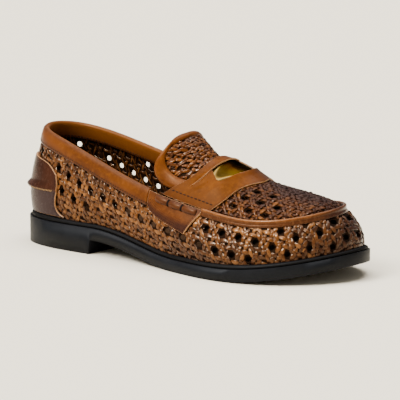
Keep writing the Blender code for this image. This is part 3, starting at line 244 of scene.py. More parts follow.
@dataclass
class Last:
    """Form of the shoe: sole edge, wall, apron and tongue as functions of named sizes."""

    sole_length: float = 266.0
    sole_thickness: float = 8.0
    heel_breast: float = 76.0
    breast_slope: float = 1.6
    shank_rise: float = 10.0
    ball_back: float = 154.0
    ball_front: float = 185.0
    toe_spring: float = 11.0
    gap: float = 0.3
    foot_inset: float = 4.5
    saddle_lift: float = 1.6
    saddle_front_share: float = 0.36

    def __post_init__(self) -> None:
        """Work out the knots and running lengths."""
        self.shape = np.array([row[1:] for row in SECTIONS])
        run = np.roll(self.shape[:, :2], -1, axis=0) - self.shape[:, :2]
        chords = np.linalg.norm(run, axis=1)
        self.knots = (np.cumsum(chords) - chords) / chords.sum()
        self.toe_s = self.knots[TOE_SECTION]
        outer = [list(row[1:]) for row in WEAVE]
        inner = [[a, b, 2.0 * WEAVE_AXIS_ROW - c, -d] for a, b, c, d in outer[-2::-1]]
        self.weave_rows = np.array(outer + inner)
        self.weave_knots = np.append(self.knots, 1.0)
        self.grid_s = np.linspace(0.0, 1.0, 401)
        self.grid_t = np.linspace(0.0, 1.0, 41)
        foot = self.wall(self.grid_s, 0.0)
        self.along = running(foot)
        rows = [self.wall(self.grid_s, t) for t in self.grid_t]
        lifts = [np.linalg.norm(b - a, axis=1) for a, b in zip(rows[:-1], rows[1:])]
        self.up = np.vstack([np.zeros(len(self.grid_s)), np.cumsum(lifts, axis=0)]).T
        self.around = float(self.along[-1])
        fine = np.linspace(0.0, 1.0, 2001)
        edge = self.section(fine)[:, 4:7]
        tip = int(np.argmax(edge[:, 0]))
        self.seam_edge = {Side.OUTER: edge[:tip + 1], Side.INNER: edge[tip:][::-1]}
        self.seam_s = {Side.OUTER: fine[:tip + 1], Side.INNER: fine[tip:][::-1]}
        self.foot_x = foot[:, 0]
        self.tongue_rows = np.array(TONGUE)
        self.tongue_knots = running(self.tongue_rows[:, :2])
        self.tongue_length = float(self.tongue_knots[-1])

    def sole_bottom(self, x: Array) -> Array:
        """Underside of the sole without its heel.

        Args:
            x: Distance from the heel back.

        Returns:
            Heights.
        """
        back = np.clip((self.ball_back - x) / (self.ball_back - self.heel_breast), 0.0, 1.0)
        front = np.clip((x - self.ball_front) / (self.sole_length - self.ball_front), 0.0, 1.0)
        return self.shank_rise * smooth_step(back) + self.toe_spring * front ** 2

    def sole_top(self, x: Array) -> Array:
        """Upper face of the sole."""
        return self.sole_bottom(x) + self.sole_thickness

    def section(self, s: Array) -> Array:
        """Section table at perimeter places."""
        return spline(self.knots, self.shape, np.atleast_1d(np.asarray(s, float)), True)

    def plan_normal(self, s: Array) -> Array:
        """Outward direction of the sole edge in plan.

        Args:
            s: Perimeter places.

        Returns:
            Unit vectors.
        """
        small = 1e-4
        run = self.section(np.asarray(s) + small)[:, :2] - self.section(np.asarray(s) - small)[:, :2]
        return unit(np.stack([run[:, 1], -run[:, 0], np.zeros(len(run))], axis=1))

    def sole_edge(self, s: Array, inset: float | Array) -> Array:
        """Points of the sole edge moved inward, at z = 0.

        Args:
            s: Perimeter places.
            inset: Distance inward from the edge.

        Returns:
            Points.
        """
        s = np.atleast_1d(np.asarray(s, float))
        edge = np.column_stack([self.section(s)[:, :2], np.zeros(len(s))])
        return edge - self.plan_normal(s) * np.broadcast_to(inset, s.shape)[:, None]

    def wall(self, s: Array, t: float | Array) -> Array:
        """Outer face of the upper from its foot (t = 0) to its collar or seam (t = 1).

        Args:
            s: Perimeter places.
            t: Shares up the wall.

        Returns:
            Points.
        """
        s = np.atleast_1d(np.asarray(s, float))
        t = np.broadcast_to(np.asarray(t, float), s.shape)[:, None]
        row = self.section(s)
        out = self.plan_normal(s)
        up = np.array([0.0, 0.0, 1.0])
        foot = self.sole_edge(s, self.foot_inset)
        foot[:, 2] = self.sole_top(foot[:, 0]) + self.gap
        edge = row[:, 4:7]
        tall = (edge[:, 2] - foot[:, 2])[:, None]
        lean = np.radians(row[:, 3])[:, None]
        low = foot + out * (1.6 * row[:, 2:3]) + up * 0.36 * tall
        high = edge - (up * np.cos(lean) - out * np.sin(lean)) * 0.40 * tall
        u = 1.0 - t
        return u ** 3 * foot + 3.0 * u * u * t * low + 3.0 * u * t * t * high + t ** 3 * edge

    def wall_normal(self, s: Array, t: float | Array) -> Array:
        """Outward unit normal of the wall, level at its foot.

        Args:
            s: Perimeter places.
            t: Shares up the wall.

        Returns:
            Unit vectors.
        """
        small = 1e-4
        s = np.atleast_1d(np.asarray(s, float))
        t = np.broadcast_to(np.asarray(t, float), s.shape)
        high = np.minimum(t + small, 1.0)
        low = np.maximum(t - small, 0.0)
        side = self.wall(s + small, t) - self.wall(s - small, t)
        normal = np.cross(side, self.wall(s, high) - self.wall(s, low))
        normal[:, 2] = np.where(t < 1e-6, 0.0, normal[:, 2])
        return unit(normal)

    def wall_height(self, s: Array) -> Array:
        """Length up the wall from the foot to the edge."""
        return np.interp(np.mod(s, 1.0 + 1e-12), self.grid_s, self.up[:, -1])

    def up_to_t(self, s: Array, up: Array) -> Array:
        """Wall parameter t at a length up the wall.

        Args:
            s: Perimeter places.
            up: Lengths up the wall.

        Returns:
            Shares up the wall.
        """
        place = np.clip(np.asarray(s, float), 0.0, 1.0) * (len(self.grid_s) - 1)
        low = np.minimum(place.astype(int), len(self.grid_s) - 2)
        part = (place - low)[:, None]
        table = self.up[low] * (1.0 - part) + self.up[low + 1] * part
        return np.array([np.interp(h, row, self.grid_t) for h, row in zip(up, table)])

    def foot_s(self, along: Array) -> Array:
        """Perimeter places at lengths along the foot."""
        return np.interp(along, self.along, self.grid_s)

    def wall_at(self, flat: Array) -> tuple[Array, Array]:
        """Wall parameters of points given as length along the foot and length up the wall."""
        s = self.foot_s(np.mod(flat[:, 0], self.around))
        return s, self.up_to_t(s, flat[:, 1])

    def on_wall(self, flat: Array, offset: float | Array) -> Array:
        """Points standing off the wall by an offset."""
        s, t = self.wall_at(flat)
        return stand(self.wall(s, t), self.wall_normal(s, t), offset)

    def collar_point(self, s: Array, drop: float, offset: float) -> Array:
        """Points at a drop below the wall's edge, above it where the drop is negative.

        Args:
            s: Perimeter places.
            drop: Distance below the edge.
            offset: Distance off the surface.

        Returns:
            Points.
        """
        s = np.mod(s, 1.0)
        if drop > 0.0:
            t = self.up_to_t(s, self.wall_height(s) - drop)
            return self.wall(s, t) + self.wall_normal(s, t) * offset
        top = self.wall(s, 1.0)
        rise = unit(top - self.wall(s, 0.98))
        return top - rise * drop + self.wall_normal(s, 1.0) * offset

    def foot_place(self, x: float, side: Side) -> float:
        """Length along the foot where the upper's foot reaches x.

        Args:
            x: Distance from the heel back.
            side: Side of the foot.

        Returns:
            Length along the foot.
        """
        foot = self.foot_x
        front = int(np.argmax(foot))
        if side is Side.OUTER:
            back = int(np.argmin(foot[:front // 2]))
            return float(np.interp(x, foot[back:front], self.along[back:front]))
        back = front + int(np.argmin(foot[front:]))
        return float(np.interp(-x, -foot[front:back + 1], self.along[front:back + 1]))

    def seam_place(self, x: float, side: Side) -> float:
        """Perimeter place where the collar or seam reaches x."""
        return float(np.interp(x, self.seam_edge[side][:, 0], self.seam_s[side]))

    def edge_place(self, x: float, side: Side) -> float:
        """Perimeter place where the sole edge reaches x.

        Args:
            x: Distance from the heel back.
            side: Side of the foot.

        Returns:
            Perimeter place.
        """
        fine = np.linspace(0.0, 1.0, 2001)
        edge = self.section(fine)[:, 0]
        front = int(np.argmax(edge))
        if side is Side.OUTER:
            return float(np.interp(x, edge[:front], fine[:front]))
        return float(np.interp(-x, -edge[front:], fine[front:]))

    def apron_frame(self, x: Array) -> tuple[Array, Array, Array, Array]:
        """Seam points on both sides at x as outer y, z and inner y, z.

        Args:
            x: Distance from the heel back.

        Returns:
            Outer y and z, inner y and z.
        """
        found = []
        for side in (Side.OUTER, Side.INNER):
            edge = self.seam_edge[side]
            found += [np.interp(x, edge[:, 0], edge[:, k]) for k in (1, 2)]
        return found[0], found[1], found[2], found[3]

    def apron(self, x: Array, across: float | Array) -> Array:
        """Outer face of the apron; across runs from the outer seam (-1) to the inner (+1).

        Args:
            x: Distance from the heel back.
            across: Shares across the apron.

        Returns:
            Points.
        """
        x = np.atleast_1d(np.asarray(x, float))
        across = np.broadcast_to(np.asarray(across, float), x.shape)
        y0, z0, y1, z1 = self.apron_frame(x)
        y = 0.5 * (y0 + y1) + 0.5 * (y1 - y0) * across
        level = 0.5 * (z0 + z1) + 0.5 * (z1 - z0) * across
        ridge = np.array(RIDGE)
        top = spline(ridge[:, 0], ridge[:, 1:], x)[:, 0]
        crown = np.maximum(top - 0.5 * (z0 + z1), 0.0)
        return np.stack([x, y, level + crown * (1.0 - across ** 2)], axis=1)

    def apron_across(self, flat: Array) -> Array:
        """Share across the apron of plan points.

        Args:
            flat: Flat places.

        Returns:
            Shares from -1 to 1.
        """
        y0, _, y1, _ = self.apron_frame(flat[:, 0])
        half = np.maximum(0.5 * (y1 - y0), 1e-6)
        return np.clip((flat[:, 1] - 0.5 * (y0 + y1)) / half, -1.0, 1.0)

    def apron_plan(self, flat: Array) -> Array:
        """Outer face of the apron over plan points."""
        return self.apron(flat[:, 0], self.apron_across(flat))

    def apron_normal(self, flat: Array) -> Array:
        """Upward unit normal of the apron over plan points.

        Args:
            flat: Flat places.

        Returns:
            Unit vectors.
        """
        small = 0.05
        inside = flat.copy()
        y0, _, y1, _ = self.apron_frame(flat[:, 0])
        middle = 0.5 * (y0 + y1)
        inside[:, 1] = middle + (flat[:, 1] - middle) * 0.985
        inside[:, 0] = np.minimum(inside[:, 0], self.seam_edge[Side.OUTER][-1, 0] - 1.0)
        run_x = self.apron_plan(inside + [small, 0.0]) - self.apron_plan(inside - [small, 0.0])
        run_y = self.apron_plan(inside + [0.0, small]) - self.apron_plan(inside - [0.0, small])
        return unit(np.cross(run_x, run_y))

    def on_apron(self, flat: Array, offset: float | Array) -> Array:
        """Points standing off the apron by an offset."""
        return stand(self.apron_plan(flat), self.apron_normal(flat), offset)

    def seam_normal(self, s: Array) -> Array:
        """Mean outward direction of wall and apron along their seam."""
        edge = self.section(s)[:, 4:6]
        return unit(self.wall_normal(s, 1.0) + self.apron_normal(edge))

    def saddle_edges(self, across: Array) -> Array:
        """Back and front edge of the saddle across the instep."""
        rows = np.array(SADDLE)
        return spline(rows[:, 0], rows[:, 1:], across)

    def saddle_point(self, across: Array, share: Array) -> Array:
        """Plan place on the saddle from shares across and along it.

        Args:
            across: Shares across the instep.
            share: Shares along the saddle.

        Returns:
            Plan places.
        """
        edges = self.saddle_edges(across)
        x = edges[:, 0] + share * (edges[:, 1] - edges[:, 0])
        y0, _, y1, _ = self.apron_frame(x)
        return np.column_stack([x, 0.5 * (y0 + y1) + 0.5 * (y1 - y0) * across])

    def saddle_rise(self, flat: Array) -> Array:
        """Height of the saddle's underside off the apron.

        Args:
            flat: Flat places.

        Returns:
            Heights.
        """
        cross = self.apron_across(flat)
        edges = self.saddle_edges(cross)
        left = (edges[:, 1] - flat[:, 0]) / (edges[:, 1] - edges[:, 0])
        ease = np.clip(left / self.saddle_front_share, 0.0, 1.0)
        return self.gap + self.saddle_lift * (1.0 - cross ** 4) * ease

    def tongue(self, flat: Array) -> Array:
        """Outer face of the tongue over offset sideways and length from its base.

        Args:
            flat: Flat places.

        Returns:
            Points.
        """
        row = spline(self.tongue_knots, self.tongue_rows, flat[:, 1])
        share = (flat[:, 0] / row[:, 2]) ** 2
        x = row[:, 0] + (row[:, 3] - row[:, 0]) * share
        z = row[:, 1] + (row[:, 4] - row[:, 1]) * share
        return np.stack([x, flat[:, 0] + TONGUE_MIDDLE, z], axis=1)

    def tongue_normal(self, flat: Array) -> Array:
        """Unit normal of the tongue's outer face.

        Args:
            flat: Flat places.

        Returns:
            Unit vectors.
        """
        small = 0.05
        length = np.clip(flat[:, 1], small, self.tongue_length - small)
        base = np.column_stack([flat[:, 0], length])
        side = self.tongue(base + [small, 0.0]) - self.tongue(base - [small, 0.0])
        run = self.tongue(base + [0.0, small]) - self.tongue(base - [0.0, small])
        return unit(np.cross(side, run))

    def on_tongue(self, flat: Array, offset: float | Array) -> Array:
        """Points standing off the tongue by an offset."""
        return stand(self.tongue(flat), self.tongue_normal(flat), offset)

    def tongue_half(self, length: Array) -> Array:
        """Half width of the tongue at a length from its base."""
        return spline(self.tongue_knots, self.tongue_rows[:, 2:3], length)[:, 0]

    def weave_counts(self, flat: Array) -> Array:
        """Weave counts of flat wall places.

        Args:
            flat: Flat places.

        Returns:
            Counts along and up.
        """
        s = self.foot_s(flat[:, 0])
        row = spline(self.weave_knots, self.weave_rows, s)
        up = flat[:, 1]
        return np.column_stack([row[:, 0] + row[:, 1] * up, row[:, 2] + row[:, 3] * up])


def seam_stations(last: Last, count: int, cuts: Sequence[float] = ()) -> Array:
    """Perimeter places in pairs across the sole.

    Args:
        last: The form of the shoe.
        count: Places along each side.
        cuts: Distances from the heel back that a pair must pass through.

    Returns:
        Rows of outer and inner place, from the heel to the toe.
    """
    outer_marks = [0.0] + [last.edge_place(x, Side.OUTER) for x in cuts] + [last.toe_s]
    inner_marks = [1.0] + [last.edge_place(x, Side.INNER) for x in cuts] + [last.toe_s]
    pairs: list[tuple[float, float]] = []
    for k in range(len(outer_marks) - 1):
        share = (outer_marks[k + 1] - outer_marks[k]) / last.toe_s
        steps = max(1, round(count * share))
        for part in np.arange(steps) / steps:
            outer = outer_marks[k] + (outer_marks[k + 1] - outer_marks[k]) * part
            inner = inner_marks[k] + (inner_marks[k + 1] - inner_marks[k]) * part
            pairs.append((outer, inner))
    pairs.append((last.toe_s, last.toe_s))
    return np.array(pairs)


class BurnSpot(NamedTuple):
    """Burnished place with its reach and strength."""

    x: float
    y: float
    z: float
    reach_x: float
    reach_y: float
    reach_z: float
    strength: float


@dataclass
class Patina:
    """Darkening of the leather by place: a burnished toe and heel, and darker towards the foot of the wall."""

    last: Last
    spots: tuple[BurnSpot, ...] = (
        BurnSpot(262.0, 20.0, 34.0, 15.0, 30.0, 27.0, 1.15),
        BurnSpot(228.0, 12.0, 53.0, 32.0, 22.0, 11.0, 0.90),
        BurnSpot(204.0, 16.0, 58.0, 34.0, 22.0, 12.0, 0.60),
        BurnSpot(184.0, 14.0, 68.0, 12.0, 14.0, 9.0, 0.50),
        BurnSpot(6.0, 0.0, 40.0, 30.0, 46.0, 40.0, 0.35),
        BurnSpot(168.0, -46.0, 18.0, 30.0, 14.0, 12.0, 0.45),
    )
    foot_reach: float = 11.0
    foot_strength: float = 0.50

    def at(self, points: Array) -> Array:
        """Darkening from 0 to 1 at points.

        Args:
            points: Points in millimetres.

        Returns:
            Shares.
        """
        total = np.zeros(len(points))
        for spot in self.spots:
            away = (points - [spot.x, spot.y, spot.z]) / [spot.reach_x, spot.reach_y, spot.reach_z]
            total += spot.strength * np.exp(-np.sum(away ** 2, axis=1))
        low = (points[:, 2] - self.last.sole_top(points[:, 0])) / self.foot_reach
        return np.clip(total + self.foot_strength * np.exp(-low ** 2), 0.0, 1.0)


class NodeTree:
    """Adds and joins the shader nodes of one material."""

    def __init__(self, name: str) -> None:
        """Start a material with an empty surface.

        Args:
            name: Name of the material.
        """
        self.material = bpy.data.materials.new(name)
        self.material.use_nodes = True
        self.tree = self.material.node_tree
        self.shader = self.tree.nodes["Principled BSDF"]
        self.coordinates = self.node("TexCoord", "Object", {})

    def feed(self, socket: Socket, value: object) -> None:
        """Link a socket or set its value.

        Args:
            socket: Socket to feed.
            value: Link or value.
        """
        if isinstance(value, bpy.types.NodeSocket):
            self.tree.links.new(value, socket)
        elif isinstance(value, tuple) and socket.type == "RGBA":
            socket.default_value = (*value, 1.0)
        else:
            socket.default_value = value

    def node(self, kind: str, out: str | int, feeds: dict[str | int, object], **settings: object) -> Socket:
        """Add a node and hand on one of its outputs.

        Args:
            kind: Kind of shader node.
            out: Output to hand on.
            feeds: Links or values of its inputs.
            settings: The node's own settings.

        Returns:
            The output.
        """
        node = self.tree.nodes.new(f"ShaderNode{kind}")
        for key, value in settings.items():
            setattr(node, key, value)
        for key, value in feeds.items():
            self.feed(node.inputs[key], value)
        return node.outputs[out]

    def mark(self, name: str) -> Socket:
        """Number stored on the mesh under a name."""
        return self.node("Attribute", "Fac", {}, attribute_name=name)

    def noise(self, scale: float, detail: float = 4.0, rough: float = 0.55,
              stretch: Color = (1.0, 1.0, 1.0)) -> Socket:
        """Noise over the piece's own coordinates, in waves per metre.

        Args:
            scale: Waves per metre.
            detail: Octaves.
            rough: Weight of the fine octaves.
            stretch: Scale along each axis.

        Returns:
            The noise.
        """
        vector = self.node("Mapping", "Vector", {"Vector": self.coordinates, "Scale": stretch})
        feeds = {"Vector": vector, "Scale": scale, "Detail": detail, "Roughness": rough}
        return self.node("TexNoise", "Fac", feeds)

    def cells(self, scale: float) -> Socket:
        """Distance inside the cells of a cell pattern."""
        return self.node("TexVoronoi", "Distance", {"Vector": self.coordinates, "Scale": scale})

    def math(self, kind: str, a: object, b: object, clamp: bool = False) -> Socket:
        """Result of an arithmetic node."""
        return self.node("Math", 0, {0: a, 1: b}, operation=kind, use_clamp=clamp)

    def span(self, value: object, low: float, high: float, to_low: float = 0.0, to_high: float = 1.0) -> Socket:
        """Value moved smoothly from one range to another."""
        ends = {"From Min": low, "From Max": high, "To Min": to_low, "To Max": to_high}
        return self.node("MapRange", "Result", {"Value": value, **ends}, interpolation_type="SMOOTHSTEP")

    def blend(self, share: object, a: object, b: object) -> Socket:
        """Colour blended from a to b by a share."""
        return self.node("Mix", 2, {0: share, 6: a, 7: b}, data_type="RGBA")

    def bump(self, height: object, strength: float, distance: float) -> Socket:
        """Normal bent by a height."""
        return self.node("Bump", "Normal", {"Height": height, "Strength": strength, "Distance": distance})

    def finish(self, **sockets: object) -> Material:
        """Feed the shader's sockets by name, spaces written as underscores.

        Args:
            sockets: Link or value of each socket.

        Returns:
            The material.
        """
        for name, value in sockets.items():
            self.feed(self.shader.inputs[name.replace("_", " ")], value)
        return self.material


@dataclass(frozen=True)
class Leather:
    """Dyed leather with grain, cloudy colour, a burnish that follows the mesh's marks, painted shade in
    recesses and, on some pieces, painted highlights through the tint mark.
    """

    name: str
    pale: Color
    body: Color
    deep: Color
    burnt: Color
    roughness: float = 0.36
    grain: float = 950.0
    grain_strength: float = 0.18
    shine: float = 0.30
    gleam: Color = (1.0, 0.62, 0.28)

    def make(self) -> Material:
        """Build the material.

        Returns:
            The material.
        """
        nodes = NodeTree(self.name)
        cloud = nodes.noise(48.0, 5.0, 0.6)
        fleck = nodes.noise(330.0, 5.0, 0.62)
        tint = nodes.mark("tint")
        burn = nodes.mark("burnish")
        recess_shade = nodes.mark("recess_shade")
        color = nodes.blend(nodes.span(cloud, 0.32, 0.66), self.deep, self.body)
        color = nodes.blend(nodes.math("MULTIPLY", nodes.span(fleck, 0.45, 0.75), 0.45), color, self.pale)
        lighter = nodes.span(tint, 0.5, 1.0, 0.0, 0.7)
        darker = nodes.span(tint, 0.0, 0.5, 0.62, 0.0)
        color = nodes.blend(lighter, color, self.pale)
        color = nodes.blend(darker, color, self.burnt)
        uneven = nodes.math("MULTIPLY", nodes.math("SUBTRACT", cloud, 0.5), 0.9)
        share = nodes.math("ADD", burn, nodes.math("MULTIPLY", uneven, nodes.span(burn, 0.0, 0.35)), clamp=True)
        color = nodes.blend(nodes.math("MULTIPLY", share, 0.92), color, self.burnt)
        # Painted shade: darkens recesses, the gaps between strands and strands that dip under others towards
        # near-black.
        color = nodes.blend(nodes.math("MULTIPLY", recess_shade, 0.85), color, (0.004, 0.002, 0.0015))
        pores = nodes.math("ADD", nodes.cells(self.grain), nodes.math("MULTIPLY", fleck, 0.8))
        rough = nodes.span(fleck, 0.25, 0.75, self.roughness - 0.07, self.roughness + 0.10)
        normal = nodes.bump(pores, self.grain_strength, 0.00012)
        return nodes.finish(
            Base_Color=color, Roughness=rough, Normal=normal,
            Specular_IOR_Level=self.shine, Specular_Tint=self.gleam,
        )


@dataclass(frozen=True)
class RawEdge:
    """Cut edge of leather: pale, fibrous and dull."""

    name: str
    pale: Color
    deep: Color

    def make(self) -> Material:
        """Build the material.

        Returns:
            The material.
        """
        nodes = NodeTree(self.name)
        fibre = nodes.noise(1400.0, 4.0, 0.7)
        cloud = nodes.noise(120.0, 3.0)
        color = nodes.blend(nodes.span(fibre, 0.3, 0.7), self.deep, self.pale)
        color = nodes.blend(nodes.span(cloud, 0.45, 0.7, 0.0, 0.4), color, self.deep)
        return nodes.finish(
            Base_Color=color, Roughness=0.62, Normal=nodes.bump(fibre, 0.35, 0.0001), Coat_Weight=0.05,
        )


@dataclass(frozen=True)
class Rubber:
    """Moulded rubber with a fine skin and slight scuffing."""

    name: str
    body: Color
    scuffed: Color

    def make(self) -> Material:
        """Build the material.

        Returns:
            The material.
        """
        nodes = NodeTree(self.name)
        skin = nodes.noise(2200.0, 3.0, 0.6)
        cloud = nodes.noise(60.0, 5.0, 0.65)
        streak = nodes.noise(180.0, 4.0, 0.6, (0.25, 0.25, 2.5))
        color = nodes.blend(nodes.span(cloud, 0.4, 0.75, 0.0, 0.6), self.body, self.scuffed)
        color = nodes.blend(nodes.span(streak, 0.58, 0.8, 0.0, 0.35), color, self.scuffed)
        rough = nodes.span(cloud, 0.3, 0.7, 0.40, 0.54)
        return nodes.finish(
            Base_Color=color, Roughness=rough, Normal=nodes.bump(skin, 0.12, 0.0001), Specular_IOR_Level=0.09,
        )


@dataclass(frozen=True)
class PlateMetal:
    """Pale gold plate, polished and lightly handled, with a painted highlight along its raised rim."""

    name: str
    body: Color
    worn: Color
    rim: Color
    edge: Color

    def make(self) -> Material:
        """Build the material.

        Returns:
            The material.
        """
        nodes = NodeTree(self.name)
        cloud = nodes.noise(140.0, 4.0)
        brushed = nodes.noise(900.0, 3.0, 0.6, (0.12, 2.0, 1.0))
        color = nodes.blend(nodes.span(cloud, 0.35, 0.7), self.body, self.worn)
        # Painted highlight: the burnish mark here holds the raised rim's share and brightens it to the rim
        # colour.
        color = nodes.blend(nodes.mark("burnish"), color, self.rim)
        rough = nodes.span(cloud, 0.3, 0.7, 0.16, 0.30)
        return nodes.finish(
            Base_Color=color, Roughness=rough, Metallic=1.0, Normal=nodes.bump(brushed, 0.10, 0.00006),
            Specular_Tint=self.edge,
        )


@dataclass(frozen=True)
class Thread:
    """Waxed sewing thread with a twist."""

    name: str
    body: Color
    deep: Color

    def make(self) -> Material:
        """Build the material.

        Returns:
            The material.
        """
        nodes = NodeTree(self.name)
        twist = nodes.noise(2600.0, 3.0, 0.6)
        color = nodes.blend(nodes.span(twist, 0.3, 0.7), self.deep, self.body)
        return nodes.finish(Base_Color=color, Roughness=0.6, Normal=nodes.bump(twist, 0.3, 0.0001),
                            Specular_IOR_Level=0.06)


@dataclass(frozen=True)
class StudioFloor:
    """Plain pale floor."""

    name: str
    body: Color

    def make(self) -> Material:
        """Build the material."""
        nodes = NodeTree(self.name)
        return nodes.finish(Base_Color=self.body, Roughness=0.9, Specular_IOR_Level=0.05)


class Finish(Enum):
    """Finishes of the shoe."""

    WOVEN = Leather("woven_strands", (0.33, 0.126, 0.032), (0.154, 0.049, 0.0092), (0.074, 0.023, 0.006),
                    (0.026, 0.0100, 0.0070), 0.20, 1500.0, 0.12, 0.26, (1.0, 0.74, 0.50))
    APRON = Leather("burnished_strands", (0.22, 0.070, 0.0105), (0.096, 0.0268, 0.0042),
                    (0.047, 0.0138, 0.0036), (0.023, 0.0098, 0.0090), 0.22, 1500.0, 0.12, 0.070,
                    (1.0, 0.70, 0.50))
    TONGUE = Leather("tongue_strands", (0.25, 0.079, 0.0115), (0.108, 0.029, 0.0045), (0.050, 0.014, 0.0038),
                     (0.024, 0.0090, 0.0062), 0.18, 1500.0, 0.12, 0.15, (1.0, 0.72, 0.50))
    # Near-black ground sheet: painted shade in the gaps between strands.
    GROUND = Leather("weave_gap_shade", (0.018, 0.0070, 0.0030), (0.011, 0.0042, 0.0020), (0.008, 0.0032, 0.0017),
                     (0.006, 0.003, 0.002), 0.60, 1300.0, 0.10, 0.03)
    TRIM = Leather("smooth_tan", (0.215, 0.066, 0.0095), (0.146, 0.041, 0.0062), (0.080, 0.022, 0.0045),
                   (0.030, 0.0115, 0.0085), 0.34, 1250.0, 0.10, 0.10, (1.0, 0.60, 0.34))
    SADDLE = Leather("saddle_tan", (0.225, 0.066, 0.006), (0.152, 0.041, 0.0036), (0.090, 0.024, 0.003),
                     (0.034, 0.0115, 0.0060), 0.32, 1250.0, 0.10, 0.05, (1.0, 0.50, 0.18))
    PIPING = Leather("seam_tan", (0.26, 0.088, 0.019), (0.135, 0.040, 0.0085), (0.076, 0.022, 0.0055),
                     (0.030, 0.0114, 0.0085), 0.24, 1250.0, 0.10, 0.20, (1.0, 0.64, 0.38))
    BURNISHED = Leather("burnished_brown", (0.062, 0.0180, 0.0050), (0.041, 0.0118, 0.0039),
                        (0.022, 0.0070, 0.0030), (0.032, 0.0192, 0.0190), 0.24, 1250.0, 0.08, 0.06,
                        (1.0, 0.80, 0.70))
    WELT = Leather("dark_welt", (0.006, 0.005, 0.005), (0.0035, 0.003, 0.003), (0.003, 0.0025, 0.0025),
                   (0.003, 0.0025, 0.0025), 0.55, 900.0, 0.20, 0.06, (1.0, 1.0, 1.0))
    # Dark brown sock, partly painted shade of the shoe's inside seen through the openings.
    SOCK = Leather("sock_leather", (0.120, 0.058, 0.026), (0.085, 0.040, 0.018), (0.056, 0.026, 0.012),
                   (0.030, 0.015, 0.008), 0.50, 1100.0, 0.16, 0.08)
    # Near-black toe lining: painted shade of the inside behind the openings.
    LINING = Leather("toe_lining", (0.009, 0.005, 0.004), (0.006, 0.004, 0.003), (0.005, 0.003, 0.0025),
                     (0.004, 0.003, 0.002), 0.7, 900.0, 0.2, 0.04)
    EDGE = RawEdge("raw_edge", (0.58, 0.29, 0.105), (0.27, 0.110, 0.034))
    SOLE = Rubber("sole_rubber", (0.0044, 0.0049, 0.0064), (0.0080, 0.0088, 0.0112))
    # The plate's rim colour is a painted highlight along its raised rim.
    PLATE = PlateMetal("gold_plate", (0.022, 0.0135, 0.0034), (0.011, 0.0066, 0.0018), (0.170, 0.105, 0.030),
                       (0.16, 0.10, 0.03))
    THREAD = Thread("brown_thread", (0.014, 0.006, 0.0035), (0.006, 0.003, 0.002))
    CREAM = Thread("cream_thread", (0.40, 0.230, 0.090), (0.17, 0.085, 0.030))
    FLOOR = StudioFloor("pale_floor", (0.985, 0.885, 0.695))


